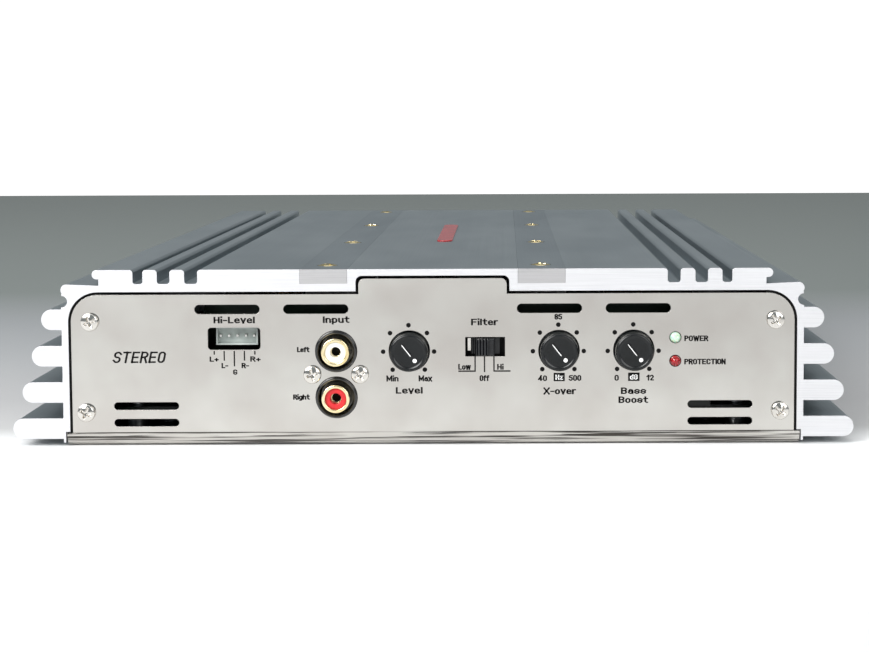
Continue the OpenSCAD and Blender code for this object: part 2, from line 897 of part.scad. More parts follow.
module led(z) {
    at_front(led_x, z) {
        translate([0, 0, -4]) cylinder(h = 4 + 0.2, r = led_r);
        translate([0, 0, 0.2]) intersection() {
            sphere(led_r);
            cylinder(h = led_r, r = led_r);
        }
        translate([0, 0, -5]) cylinder(h = 1, r = led_flange_r);
        for (x = [-1.27, 1.27]) {
            translate([x - 0.25, -0.25, -control_depth]) cube([0.5, 0.5, control_depth - 4.5]);
        }
    }
}

// ---------- power stage ----------

// Aluminium angles under the ceiling, drawn up by the bar screws.
module heat_spreaders() {
    x = spreader_x;
    color("silver") both_sides() difference() {
        union() {
            block([x - spreader_w, spreader_y0, ceiling_z - spreader_t], [x, spreader_y1, ceiling_z]);
            block([x - spreader_t, spreader_y0, ceiling_z - spreader_drop], [x, spreader_y1, ceiling_z]);
        }
        for (y = bar_screw_ys) {
            translate([bar_x, y, ceiling_z - spreader_t - 1]) cylinder(h = spreader_t + 2, r = screw_r);
        }
        for (y = fet_ys) {
            translate([x, y, fet_z + fet_h + fet_tab_h / 2]) rotate([0, 90, 0])
                cylinder(h = 3 * spreader_t, r = tap_r, center = true);
        }
    }
}

module insulating_strips() {
    color("lightgray") both_sides() difference() {
        block([spreader_x, spreader_y0 + pad_end, fet_z - 1],
            [spreader_x + pad_t, spreader_y1 - pad_end, ceiling_z - 3]);
        for (y = fet_ys) {
            translate([spreader_x, y, fet_z + fet_h + fet_tab_h / 2]) rotate([0, 90, 0])
                cylinder(h = 4, r = pass_r, center = true);
        }
    }
}

// A power transistor standing on the board with its tab against the heat spreader.
module transistor(y) {
    x = spreader_x + pad_t;
    side = fet_w / 2;
    tab_z = fet_z + fet_h;
    block([x, y - side, fet_z], [x + fet_t, y + side, tab_z]);
    difference() {
        block([x, y - side, tab_z - eps], [x + fet_tab_t, y + side, tab_z + fet_tab_h]);
        translate([x - 1, y, tab_z + fet_tab_h / 2]) rotate([0, 90, 0]) cylinder(h = 4, r = fet_hole_r);
    }
    for (i = [-1:1]) {
        block([x + 2.4, y + i * lead_pitch - lead_side / 2, board_top],
            [x + 2.4 + lead_side / 2, y + i * lead_pitch + lead_side / 2, fet_z + eps]);
    }
}

module transistor_row(ys) {
    color("black") both_sides() {
        for (y = ys) {
            transistor(y);
        }
    }
}

module transistor_screws() {
    color("lightgray") both_sides() {
        for (y = fet_ys) {
            translate([spreader_x + pad_t + fet_tab_t, y, fet_z + fet_h + fet_tab_h / 2])
                rotate([0, 90, 0]) pan_screw(head_r, pad_t + fet_tab_t + spreader_t, tap_r);
        }
    }
}

// Half-section of the toroid's winding space: the core, grown by a wall all round.
module ring_2d(grow, r) {
    translate([(core_r + core_in_r) / 2, core_h / 2])
        round_rect(core_r - core_in_r + 2 * grow, core_h + 2 * grow, r);
}

module toroid_core() {
    color("darkolivegreen") translate([0, toroid_y, toroid_z]) rotate_extrude() ring_2d(0, 1);
}

module toroid_windings() {
    color("peru") for (a = [8, 188]) {
        translate([0, toroid_y, toroid_z]) rotate([0, 0, a]) rotate_extrude(angle = 164) difference() {
            ring_2d(winding_t, 1 + winding_t);
            ring_2d(0, 1);
        }
    }
}

module capacitor(r, h) {
    difference() {
        translate([0, 0, board_top]) cylinder(h = h, r = r);
        translate([0, 0, board_top + 3]) rotate_extrude() translate([r + 0.3, 0]) circle(0.8);
    }
}

module filter_capacitors() {
    color("midnightblue") for (x = [-1, 1], y = cap_ys) {
        translate([x * cap_x, y, 0]) capacitor(cap_r, cap_h);
    }
}

module input_capacitors() {
    color("midnightblue") for (x = [-1, 1], y = input_cap_ys) {
        translate([x * cap_x, y, 0]) capacitor(cap_r * 0.9, cap_h);
    }
}

module output_chokes() {
    color("peru") for (x = [-70, 70], y = [20, 60]) {
        translate([x, y, board_top]) difference() {
            cylinder(h = 18, r = choke_r);
            translate([0, 0, -1]) cylinder(h = 20, r = choke_r * 0.35);
        }
    }
}

module chips() {
    color("black") for (x = chip_xs, y = [-110, -84, -58]) {
        block([x, y, board_top], [x + 8, y + 19, board_top + 4]);
    }
}

// ---------- rear connections ----------

// Moulded terminal strip with a divider on each side of every way.
module terminal_strip(x, ways, pitch) {
    w = ways * pitch;
    color("black") difference() {
        union() {
            block([x - w / 2 - divider_t / 2, rear_y - sheet_t - strip_d, strip_z0],
                [x + w / 2 + divider_t / 2, rear_y - plate_set, strip_z0 + strip_h]);
            for (i = [0:ways]) {
                translate([x - w / 2 + i * pitch - divider_t / 2, rear_y - plate_set - eps, strip_z0])
                    cube([divider_t, plate_set + divider_out, strip_h]);
            }
        }
        for (i = [0:ways - 1]) {
            at_rear(x - w / 2 + (i + 0.5) * pitch, strip_z0 + strip_h / 2)
                translate([0, 0, -plate_set - term_screw_l]) cylinder(h = 20, r = tap_r);
        }
    }
}

// Runs its children at the middle of every way of both strips, facing the rear.
module at_ways() {
    for (i = [0:power_ways - 1]) {
        at_rear(power_x + (i - (power_ways - 1) / 2) * power_pitch, strip_z0 + strip_h / 2) children();
    }
    for (i = [0:speaker_ways - 1]) {
        at_rear(speaker_x + (i - (speaker_ways - 1) / 2) * speaker_pitch, strip_z0 + strip_h / 2) children();
    }
}

module terminal_plates() {
    color("gold") at_ways() translate([0, 0, -plate_set]) difference() {
        translate([-plate_w / 2, -strip_h / 2 + 1.5, 0]) cube([plate_w, strip_h - 3, plate_t]);
        translate([0, 0, -1]) cylinder(h = 4, r = pass_r);
    }
}

module terminal_screws() {
    color("gold") at_ways() translate([0, 0, plate_t - plate_set])
        pan_screw(term_head_r, plate_t + term_screw_l - 1, tap_r);
}

module fuse_holder() {
    color("black") difference() {
        block([-holder_w / 2, rear_y - sheet_t - holder_d, board_top],
            [holder_w / 2, rear_y - sheet_t, holder_top]);
        for (z = fuse_zs) {
            at_rear(0, z) {
                translate([-fuse_w / 2 - fuse_gap, -fuse_t / 2 - fuse_gap, -fuse_in - fuse_gap])
                    cube([fuse_w + 2 * fuse_gap, fuse_t + 2 * fuse_gap, 30]);
                for (x = [-1, 1]) {
                    translate([x * blade_dx - contact_w / 2, -contact_h / 2, contact_z])
                        cube([contact_w, contact_h, contact_l + 1]);
                }
            }
        }
    }
}

module fuse_contacts() {
    color("silver") for (z = fuse_zs, x = [-1, 1]) {
        at_rear(x * blade_dx, z) translate([0, 0, contact_z]) difference() {
            translate([-contact_w / 2, -contact_h / 2, 0]) cube([contact_w, contact_h, contact_l - 0.2]);
            translate([-blade_w / 2 - blade_gap, -blade_t / 2 - blade_gap, 0.3])
                cube([blade_w + 2 * blade_gap, blade_t + 2 * blade_gap, contact_l + 1]);
        }
    }
}

module fuse(z) {
    at_rear(0, z) translate([0, 0, -fuse_in]) {
        difference() {
            translate([-fuse_w / 2, -fuse_t / 2, 0]) cube([fuse_w, fuse_t, fuse_body_l]);
            for (y = [-1, 1]) {
                translate([-fuse_w / 2 - 1, y * fuse_t / 2 - 0.5, fuse_body_l - 3]) cube([4, 1, 4]);
                translate([fuse_w / 2 - 3, y * fuse_t / 2 - 0.5, fuse_body_l - 3]) cube([4, 1, 4]);
            }
        }
        for (x = [-1, 1]) {
            translate([x * blade_dx - blade_w / 2, -blade_t / 2, -blade_l + eps])
                cube([blade_w, blade_t, blade_l]);
        }
    }
}

heatsink();
front_panel();
rear_panel();
bottom_plate();
top_bar(-1);  // top_bar_left
top_bar(1);  // top_bar_right
bar_screws();
top_badge();
front_panel_screws();
rear_panel_screws();
floor_screws();
mounting_nuts();
main_board();
standoffs();
board_screws();
control_board();
board_link();
jack_body();
jack_shells();
color("white") jack_insulator(jack_zs[0]);  // insulator_left
color("red") jack_insulator(jack_zs[1]);  // insulator_right
jack_contacts();
jack_screws();
input_header();
header_pins();
pot(level_x);  // level_pot
pot(crossover_x);  // crossover_pot
pot(boost_x);  // boost_pot
control_shaft(level_x);  // level_shaft
control_shaft(crossover_x);  // crossover_shaft
control_shaft(boost_x);  // boost_shaft
knob(level_x);  // level_knob
knob(crossover_x);  // crossover_knob
knob(boost_x);  // boost_knob
switch_body();
filter_lever();
color("limegreen") led(led_zs[1]);  // power_led
color("red") led(led_zs[0]);  // protection_led
heat_spreaders();
insulating_strips();
transistor_row(output_ys);  // output_transistors
transistor_row(supply_ys);  // supply_transistors
transistor_screws();
toroid_core();
toroid_windings();
filter_capacitors();
input_capacitors();
output_chokes();
chips();
terminal_strip(power_x, power_ways, power_pitch);  // power_strip
terminal_strip(speaker_x, speaker_ways, speaker_pitch);  // speaker_strip
terminal_plates();
terminal_screws();
fuse_holder();
fuse_contacts();
fuse(fuse_zs[1]);  // fuse_upper
fuse(fuse_zs[0]);  // fuse_lower
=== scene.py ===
"""The looks of a two-channel car amplifier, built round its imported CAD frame.

Everything is in metres in the frame's own axes: +X to the right along the control panel, +Y from
the control panel to the rear, +Z up. Places come from the CAD nodes' boxes and named sizes below.
"""

import json
import math

import bmesh
import bpy
import numpy as np
from mathutils import Euler, Matrix, Vector


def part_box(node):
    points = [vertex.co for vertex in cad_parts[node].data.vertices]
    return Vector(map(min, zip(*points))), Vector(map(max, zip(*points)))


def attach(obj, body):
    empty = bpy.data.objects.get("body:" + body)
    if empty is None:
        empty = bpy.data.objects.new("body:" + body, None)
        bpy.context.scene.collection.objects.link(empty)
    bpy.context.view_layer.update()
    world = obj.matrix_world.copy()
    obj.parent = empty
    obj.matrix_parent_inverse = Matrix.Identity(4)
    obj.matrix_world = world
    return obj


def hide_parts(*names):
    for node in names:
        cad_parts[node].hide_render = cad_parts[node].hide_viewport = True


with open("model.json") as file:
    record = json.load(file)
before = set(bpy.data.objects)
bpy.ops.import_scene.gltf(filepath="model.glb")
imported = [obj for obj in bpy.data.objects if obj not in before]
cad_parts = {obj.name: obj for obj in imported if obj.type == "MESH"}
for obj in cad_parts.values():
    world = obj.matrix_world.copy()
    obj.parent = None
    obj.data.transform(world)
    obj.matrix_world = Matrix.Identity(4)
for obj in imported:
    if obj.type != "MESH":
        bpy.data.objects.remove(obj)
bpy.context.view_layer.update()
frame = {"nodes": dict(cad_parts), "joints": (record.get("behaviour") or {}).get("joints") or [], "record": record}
NODES = frame["nodes"]
MM = 0.001

# ---------- places read from the frame ----------

CASE_LOW, CASE_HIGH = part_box("heatsink")
FRONT_Y, REAR_Y, TOP_Z = CASE_LOW.y, CASE_HIGH.y, CASE_HIGH.z
HALF_LEN = (REAR_Y - FRONT_Y) / 2
FRONT_MM, REAR_MM = FRONT_Y / MM, REAR_Y / MM
# height in mm at which the panel's sheet starts to bend under
BEND_TOP = 4.0


def middle(node):
    """Centre of a CAD node's box."""
    low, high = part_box(node)
    return (low + high) / 2


def joint(name):
    """The record's joint of that name."""
    return next(j for j in frame["joints"] if j["name"] == name)


KNOBS = {
    "level": joint("level_turn")["pos_m"],
    "crossover": joint("crossover_turn")["pos_m"],
    "boost": joint("boost_turn")["pos_m"],
}

# ---------- camera, light and stage ----------

CAMERA_AT = Vector((0.0216, FRONT_Y - 0.533, 0.101))
CAMERA_LENS = 75.0
CAMERA_PITCH = math.radians(4.22)
CAMERA_ROLL = math.radians(-0.21)
CAMERA_SHIFT = (-0.0815, -0.1008)


def make_camera():
    """A long lens a little above and to the right of the panel, looking straight along the case."""
    data = bpy.data.cameras.new("camera")
    data.lens = CAMERA_LENS
    data.shift_x, data.shift_y = CAMERA_SHIFT
    data.clip_start, data.clip_end = 0.01, 50
    camera = bpy.data.objects.new("camera", data)
    bpy.context.scene.collection.objects.link(camera)
    tilt = Euler((math.pi / 2 - CAMERA_PITCH, 0, 0)).to_matrix() @ Euler((0, 0, CAMERA_ROLL)).to_matrix()
    camera.matrix_world = Matrix.Translation(CAMERA_AT) @ tilt.to_4x4()
    bpy.context.scene.camera = camera


def area_light(name, at, aim, size, power):
    """A rectangular soft light at one point, turned to face another."""
    data = bpy.data.lights.new(name, "AREA")
    data.shape, data.size, data.size_y = "RECTANGLE", size[0], size[1]
    data.energy = power
    light = bpy.data.objects.new(name, data)
    bpy.context.scene.collection.objects.link(light)
    light.location = at
    light.rotation_euler = (Vector(aim) - Vector(at)).to_track_quat("-Z", "Y").to_euler()


# ---------- colour and node helpers ----------


def linear(hex_code):
    """A six-digit sRGB hex colour as linear RGBA."""
    parts = [int(hex_code[i : i + 2], 16) / 255 for i in (0, 2, 4)]
    return [p / 12.92 if p <= 0.04045 else ((p + 0.055) / 1.055) ** 2.4 for p in parts] + [1.0]


def add(tree, kind, inputs=None, **settings):
    """Adds a node of that kind; a socket given as an input is linked, and anything else is its value."""
    node = tree.nodes.new(kind)
    for name, value in settings.items():
        setattr(node, name, value)
    for name, value in (inputs or {}).items():
        if isinstance(value, bpy.types.NodeSocket):
            tree.links.new(value, node.inputs[name])
        else:
            node.inputs[name].default_value = value
    return node


def new_material(name):
    """An empty node material, with its tree and its output node."""
    made = bpy.data.materials.new(name)
    made.use_nodes = True
    made.node_tree.nodes.clear()
    return made, made.node_tree, made.node_tree.nodes.new("ShaderNodeOutputMaterial")


def grain(tree, size_mm, stretch=(1, 1, 1), detail=3.0):
    """Noise on Object coordinates: one grain is size_mm across, times stretch along each axis."""
    place = add(tree, "ShaderNodeTexCoord").outputs["Object"]
    scale = [1 / (size_mm * MM * s) for s in stretch]
    scaled = add(tree, "ShaderNodeMapping", {"Vector": place, "Scale": scale}).outputs["Vector"]
    inputs = {"Vector": scaled, "Scale": 1.0, "Detail": detail}
    return add(tree, "ShaderNodeTexNoise", inputs).outputs["Fac"]


def spread(tree, value, low, high):
    """Maps a 0 to 1 value to the range low to high."""
    inputs = {"Value": value, "To Min": low, "To Max": high}
    return add(tree, "ShaderNodeMapRange", inputs).outputs["Result"]


def spread_from(tree, value, low, high):
    """Maps the range low to high of a value to 0 to 1, and clamps it there."""
    inputs = {"Value": value, "From Min": low, "From Max": high}
    return add(tree, "ShaderNodeMapRange", inputs).outputs["Result"]


def two_tone(tree, value, dark, light):
    """A colour between two hex tones, as a value runs from 0.3 to 0.7."""
    ramp = add(tree, "ShaderNodeValToRGB", {"Fac": value})
    ramp.color_ramp.elements[0].position, ramp.color_ramp.elements[1].position = 0.3, 0.7
    ramp.color_ramp.elements[0].color, ramp.color_ramp.elements[1].color = linear(dark), linear(light)
    return ramp.outputs["Color"]


def bump(tree, height, depth_mm):
    """Turns a 0 to 1 height into a surface normal, depth_mm deep."""
    inputs = {"Height": height, "Distance": depth_mm * MM, "Strength": 1.0}
    return add(tree, "ShaderNodeBump", inputs).outputs["Normal"]


# ---------- materials ----------


def anodised_aluminium(name, sides, ends):
    """Extruded aluminium, satin anodised: fine die lines run along it, and its sawn ends are brighter."""
    made, tree, output = new_material(name)
    place = add(tree, "ShaderNodeTexCoord").outputs["Object"]
    along = add(tree, "ShaderNodeSeparateXYZ", {"Vector": place}).outputs["Y"]
    far = add(tree, "ShaderNodeMath", {0: along}, operation="ABSOLUTE").outputs["Value"]
    at_end = add(
        tree, "ShaderNodeMath", {0: far, 1: HALF_LEN - 0.05 * MM}, operation="GREATER_THAN"
    ).outputs["Value"]
    die_lines = grain(tree, 0.35, stretch=(1, 900, 1))
    cloud = grain(tree, 22.0, stretch=(1, 3, 1), detail=2.0)
    side_colour = two_tone(tree, cloud, *sides)
    saw_lines = grain(tree, 0.30, stretch=(60, 1, 1))
    end_colour = two_tone(tree, saw_lines, *ends)
    colour = add(
        tree, "ShaderNodeMix", {0: at_end, 6: side_colour, 7: end_colour}, data_type="RGBA"
    ).outputs[2]
    rough_side = spread(tree, die_lines, 0.30, 0.42)
    rough_end = spread(tree, saw_lines, 0.5, 0.62)
    rough = add(tree, "ShaderNodeMix", {0: at_end, 2: rough_side, 3: rough_end}).outputs[0]
    height = add(tree, "ShaderNodeMix", {0: at_end, 2: die_lines, 3: saw_lines}).outputs[0]
    shader = add(
        tree,
        "ShaderNodeBsdfPrincipled",
        {"Base Color": colour, "Metallic": 1.0, "Roughness": rough, "Normal": bump(tree, height, 0.012)},
    )
    tree.links.new(shader.outputs["BSDF"], output.inputs["Surface"])
    return made


def metal(name, dark, light, rough, grain_mm, stretch=(1, 1, 1), depth_mm=0.003):
    """A bare or plated metal: two close tones, and roughness and height that follow one grain."""
    made, tree, output = new_material(name)
    texture = grain(tree, grain_mm, stretch)
    shader = add(
        tree,
        "ShaderNodeBsdfPrincipled",
        {
            "Base Color": two_tone(tree, grain(tree, 18 * grain_mm, detail=2.0), dark, light),
            "Metallic": 1.0,
            "Roughness": spread(tree, texture, rough[0], rough[1]),
            "Normal": bump(tree, texture, depth_mm),
        },
    )
    tree.links.new(shader.outputs["BSDF"], output.inputs["Surface"])
    return made


def chrome_plate():
    """Plated steel sheet: faint polishing haze on the flats, and long streaks round the lower bend.

    The streaks are noise drawn out along X. Below the bend's start they tilt the surface, and where the
    noise is high they darken the plate's colour as painted dark reflection. A broken line of painted dark
    reflection runs where the bend starts.
    """
    made, tree, output = new_material("nickel_chrome_plate")
    place = add(tree, "ShaderNodeTexCoord").outputs["Object"]
    up = add(tree, "ShaderNodeSeparateXYZ", {"Vector": place}).outputs["Z"]
    in_bend = add(
        tree, "ShaderNodeMapRange",
        {"Value": up, "From Min": (BEND_TOP + 0.3) * MM, "From Max": BEND_TOP * MM},
    ).outputs["Result"]
    haze = grain(tree, 0.8)
    streak_noise = grain(tree, 0.75, stretch=(45, 1, 1), detail=2.0)
    # painted dark reflection: where the streak noise is high, the bend's colour is darkened
    painted_streak_fac = spread_from(tree, streak_noise, 0.46, 0.60)
    # a thin band at the bend's start, for a broken line of painted dark reflection
    bend_start_band = add(
        tree, "ShaderNodeMath", {0: up, 1: (BEND_TOP + 0.12) * MM, 2: 0.16 * MM}, operation="COMPARE"
    )
    broken = spread_from(tree, grain(tree, 0.9, stretch=(60, 1, 1), detail=1.0), 0.35, 0.55)
    line = add(tree, "ShaderNodeMath", {0: bend_start_band.outputs["Value"], 1: broken}, operation="MULTIPLY")
    painted_streak_reflection = add(tree, "ShaderNodeMath", {0: in_bend, 1: painted_streak_fac}, operation="MULTIPLY")
    painted_reflection_mask = add(
        tree, "ShaderNodeMath", {0: line.outputs["Value"], 1: painted_streak_reflection.outputs["Value"]}, operation="MAXIMUM"
    ).outputs["Value"]
    plate = two_tone(tree, grain(tree, 14.0, detail=2.0), "c1bdb8", "cccac5")
    # the dark tone 4a4744 is painted reflection, mixed in over the bend's streaks and its starting line
    colour = add(
        tree, "ShaderNodeMix", {0: painted_reflection_mask, 6: plate, 7: linear("4a4744")}, data_type="RGBA"
    ).outputs[2]
    strength = add(tree, "ShaderNodeMath", {0: in_bend, 1: 0.9}, operation="MULTIPLY").outputs["Value"]
    flat = bump(tree, haze, 0.0004)
    streaks = add(
        tree, "ShaderNodeBump",
        {"Height": streak_noise, "Distance": 0.35 * MM, "Strength": strength, "Normal": flat},
    ).outputs["Normal"]
    shader = add(
        tree,
        "ShaderNodeBsdfPrincipled",
        {
            "Base Color": colour,
            "Metallic": 1.0,
            "Roughness": spread(tree, haze, 0.05, 0.10),
            "Normal": streaks,
        },
    )
    tree.links.new(shader.outputs["BSDF"], output.inputs["Surface"])
    return made


def moulding(name, dark, light, rough, grain_mm, depth_mm, coat=0.0, shine=0.5):
    """A moulded or printed plastic: fine spark texture, faint cloudiness, and a coat if it is glossy."""
    made, tree, output = new_material(name)
    texture = grain(tree, grain_mm)
    shader = add(
        tree,
        "ShaderNodeBsdfPrincipled",
        {
            "Base Color": two_tone(tree, grain(tree, 12 * grain_mm, detail=2.0), dark, light),
            "Roughness": spread(tree, texture, rough[0], rough[1]),
            "Normal": bump(tree, texture, depth_mm),
            "Coat Weight": coat,
            "Specular IOR Level": shine,
            "Coat Roughness": 0.1,
        },
    )
    tree.links.new(shader.outputs["BSDF"], output.inputs["Surface"])
    return made


def lamp_lens(name, dark, light, glow):
    """Diffused epoxy of a small lamp: tinted, slightly cloudy and wet-looking, with a faint glow."""
    made, tree, output = new_material(name)
    haze = grain(tree, 0.6)
    colour = two_tone(tree, haze, dark, light)
    shader = add(
        tree,
        "ShaderNodeBsdfPrincipled",
        {
            "Base Color": colour,
            "Roughness": spread(tree, haze, 0.12, 0.22),
            "IOR": 1.54,
            "Subsurface Weight": 0.4,
            "Subsurface Scale": 0.0015,
            "Emission Color": linear(light),
            "Emission Strength": glow,
        },
    )
    tree.links.new(shader.outputs["BSDF"], output.inputs["Surface"])
    return made


MATERIALS = {
    "anodised_aluminium": anodised_aluminium(
        "anodised_aluminium", ("a3abb0", "b4bbbf"), ("cfcfd1", "dadadc")
    ),
    # the inlaid bars are the same alloy with duller ends
    "bar_aluminium": anodised_aluminium("drawn_anodised_bar", ("9aa2a8", "a9b1b6"), ("adacad", "b9b8b9")),
    "mill_aluminium": metal("mill_aluminium", "b5b5b3", "cfcfcd", (0.30, 0.45), 0.5, (1, 60, 1), 0.008),
    # nickel-chrome on polished steel: warm, mirror-like, with rippled streaks where the sheet is bent; their
    # darkness is painted reflection
    "chrome_panel": chrome_plate(),
    "black_steel": moulding("black_powder_coat", "0b0b0c", "161617", (0.45, 0.60), 0.5, 0.03),
    "gold_screws": metal("brass_plate", "e6cd8e", "f6e4b4", (0.14, 0.24), 0.25),
    "nickel_screws": metal("bright_nickel", "d0ccc6", "e0ddd8", (0.08, 0.16), 0.3),
    "zinc_steel": metal("zinc_plate", "a9acae", "c2c5c7", (0.28, 0.42), 0.4),
    "red_badge": moulding("red_enamel", "8e0f16", "b01820", (0.18, 0.28), 0.4, 0.004, coat=0.4),
    "board_laminate": moulding(
        "green_solder_resist", "041508", "08220f", (0.25, 0.40), 0.6, 0.02, coat=0.2
    ),
    "black_plastic": moulding("black_abs", "090909", "141415", (0.28, 0.42), 0.25, 0.006),
    "gold_contacts": metal("gold_flash", "ecd7a2", "fbeecb", (0.12, 0.22), 0.25),
    "white_insulator": moulding("white_nylon", "e4e2da", "f3f1ea", (0.30, 0.42), 0.3, 0.003),
    "red_insulator": moulding("red_nylon", "b31a20", "cc2a2e", (0.28, 0.40), 0.3, 0.003),
    "nylon_header": moulding("natural_nylon", "a3aca8", "c0c8c4", (0.35, 0.50), 0.3, 0.004),
    "tinned_pins": metal("tin_plate", "b8b8b4", "d2d2ce", (0.18, 0.30), 0.2),
    "shaft_nylon": moulding("shaft_nylon", "c6c4ba", "dad8ce", (0.40, 0.55), 0.3, 0.004),
    "knob_plastic": moulding("charcoal_abs", "050708", "0b0e10", (0.20, 0.30), 0.2, 0.002, shine=0.4),
    "lever_plastic": moulding("black_acetal", "0e0f11", "1a1b1e", (0.26, 0.38), 0.2, 0.004),
    "green_lens": lamp_lens("green_lens", "8fb798", "cfe6d1", 0.10),
    "red_lens": lamp_lens("red_lens", "5d0a0d", "b01c22", 0.03),
    "silicone_strip": moulding("silicone_cloth", "7f848c", "979ca4", (0.6, 0.75), 0.5, 0.03),
    "ferrite": moulding("painted_ferrite", "20231f", "2d312b", (0.45, 0.60), 0.5, 0.02),
    "copper_wire": metal("enamelled_copper", "93491f", "b4622c", (0.22, 0.35), 0.5),
    "capacitor_sleeve": moulding("vinyl_sleeve", "0a0e26", "131a3c", (0.18, 0.30), 0.5, 0.006, coat=0.3),
    "fuse_plastic": moulding(
        "tinted_polycarbonate", "d99a12", "f0b428", (0.10, 0.18), 0.4, 0.002, coat=0.5
    ),
}
INK = moulding("black_screen_ink", "020202", "070707", (0.5, 0.6), 0.2, 0.002, shine=0.15)
WHITE_PAINT = moulding("white_paint", "ececea", "ffffff", (0.4, 0.55), 0.2, 0.002)
GLOSS_BLACK = moulding("glossy_black_nylon", "050505", "0b0b0c", (0.10, 0.16), 0.3, 0.001, coat=0.6)
SLOT_OF = {s["node"]: s["material_slot"] for s in frame["record"]["subparts"]}


def finish_node(node):
    """Gives a CAD node its real finish, in every slot it has."""
    mesh = NODES[node].data
    mesh.materials.clear()
    mesh.materials.append(MATERIALS[SLOT_OF[node]])


for each_node in NODES:
    finish_node(each_node)


# ---------- mesh helpers ----------

UPWARD = Vector((0, 0, 1))
FORWARD, BACKWARD = Vector((0, -1, 0)), Vector((0, 1, 0))


def put(name, mesh, body, material, replaced=()):
    """Makes a piece of a finished mesh, riding on a body and the nodes it stands for."""
    mesh.name = name
    piece = bpy.data.objects.new(name, mesh)
    bpy.context.scene.collection.objects.link(piece)
    mesh.materials.clear()
    mesh.materials.append(material)
    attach(piece, body)
    if replaced:
        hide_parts(*replaced)
    return piece


def closed_mesh(points, faces, smooth_angle=40):
    """A mesh from arrays of points and faces: doubles merged, normals outward, smooth up to an angle."""
    mesh = bpy.data.meshes.new("mesh")
    mesh.from_pydata(np.asarray(points).tolist(), [], np.asarray(faces).tolist())
    shaped = bmesh.new()
    shaped.from_mesh(mesh)
    bmesh.ops.remove_doubles(shaped, verts=shaped.verts, dist=1e-7)
    bmesh.ops.recalc_face_normals(shaped, faces=shaped.faces)
    shaped.to_mesh(mesh)
    shaped.free()
    mesh.shade_smooth()
    mesh.set_sharp_from_angle(angle=math.radians(smooth_angle))
    return mesh


def grid_faces(rows, columns, wrap=True):
    """Quads of a grid of points, row by row; each row closes on itself if wrap is set."""
    r, c = np.meshgrid(np.arange(rows - 1), np.arange(columns if wrap else columns - 1), indexing="ij")
    here, right = r * columns + c, r * columns + (c + 1) % columns
    return np.stack([here, right, right + columns, here + columns], axis=-1).reshape(-1, 4)


def arc(centre, radius, start, end, steps):
    """Points of an arc in the plane of radius and height; angles in degrees."""
    a = np.radians(np.linspace(start, end, steps))
    return np.stack([centre[0] + radius * np.cos(a), centre[1] + radius * np.sin(a)], axis=-1)


def rounded(outline, radius, steps=4):
    """An open outline with its inner corners rounded: each corner p becomes the quadratic curve
    (1-t)^2 a + 2t(1-t) p + t^2 b, with a and b at the radius from p, or less where a side is short."""
    out = [outline[0]]
    t = np.linspace(0, 1, steps + 1)[:, None]
    for before, corner, after in zip(outline, outline[1:], outline[2:]):
        p, u, v = np.array(corner), np.array(before) - corner, np.array(after) - corner
        reach = min(radius, 0.45 * np.hypot(*u), 0.45 * np.hypot(*v))
        a, b = p + u / np.hypot(*u) * reach, p + v / np.hypot(*v) * reach
        out.extend(((1 - t) ** 2 * a + 2 * t * (1 - t) * p + t * t * b).tolist())
    out.append(outline[-1])
    return np.array(out, dtype=float)


def turned(outline, centre, axis, turns, carve=None):
    """Points and faces of an outline of (radius, height) mm carried round an axis.

    P(s, a) = centre + r(s) (cos a U + sin a V) + h(s) A, with U sideways, V up and A the axis.
    carve(x, z), in mm, is how far a point at x U + z V is sunk along the axis.
    """
    axis = Vector(axis)
    up = UPWARD if abs(axis.z) < 0.5 else BACKWARD
    side = up.cross(axis)
    angle = np.linspace(0, 2 * math.pi, turns, endpoint=False)
    radius, height = outline[:, 0][:, None], outline[:, 1][:, None]
    x, z = radius * np.cos(angle), radius * np.sin(angle)
    h = height + 0 * angle
    if carve is not None:
        h = h - carve(x, z)
    spread_out = (
        x[..., None] * np.array(side) + z[..., None] * np.array(up) + h[..., None] * np.array(axis)
    )
    points = np.array(centre) + MM * spread_out
    return points.reshape(-1, 3), grid_faces(len(outline), turns)


def joined(parts):
    """Several (points, faces) pairs as one pair."""
    starts = np.cumsum([0] + [len(points) for points, _ in parts])
    points = np.concatenate([points for points, _ in parts])
    return points, np.concatenate([faces + start for (_, faces), start in zip(parts, starts)])


def even(start, end, steps):
    """Evenly spaced points from one outline point to another."""
    return np.linspace(np.array(start, dtype=float), np.array(end, dtype=float), steps)


def slab(low, high):
    """The eight points and six faces of an upright box, in mm from the frame's origin."""
    x, y, z = np.meshgrid(*[(a, b) for a, b in zip(low, high)], indexing="ij")
    points = np.stack([x, y, z], axis=-1).reshape(-1, 3) * MM
    faces = [(0, 1, 3, 2), (4, 6, 7, 5), (0, 4, 5, 1), (2, 3, 7, 6), (0, 2, 6, 4), (1, 5, 7, 3)]
    return points, np.array(faces)


SHARP_ANGLE = math.radians(30)


def softened(node, width, segments=2, only=None):
    """A welded copy of a CAD node: flat facets joined, and its sharp edges rounded by a small bevel."""
    shaped = bmesh.new()
    shaped.from_mesh(NODES[node].data)
    bmesh.ops.remove_doubles(shaped, verts=shaped.verts, dist=1e-6)
    bmesh.ops.dissolve_limit(
        shaped, angle_limit=math.radians(0.4), verts=shaped.verts, edges=shaped.edges
    )
    sharp = [e for e in shaped.edges if e.is_manifold and e.calc_face_angle() > SHARP_ANGLE]
    if only is not None:
        sharp = [e for e in sharp if only(e.verts[0].co, e.verts[1].co)]
    bmesh.ops.bevel(
        shaped, geom=sharp, offset=width * MM, segments=segments, profile=0.5, affect="EDGES",
        clamp_overlap=True, loop_slide=True,
    )
    mesh = bpy.data.meshes.new(node + "_soft")
    shaped.to_mesh(mesh)
    shaped.free()
    mesh.shade_smooth()
    mesh.set_sharp_from_angle(angle=math.radians(50))
    return mesh


# ---------- screws ----------

HEAD_HEIGHT, HEAD_ROOT = 1.9, 1.0
PANEL_HEAD_R, BAR_HEAD_R = 2.65, 3.0


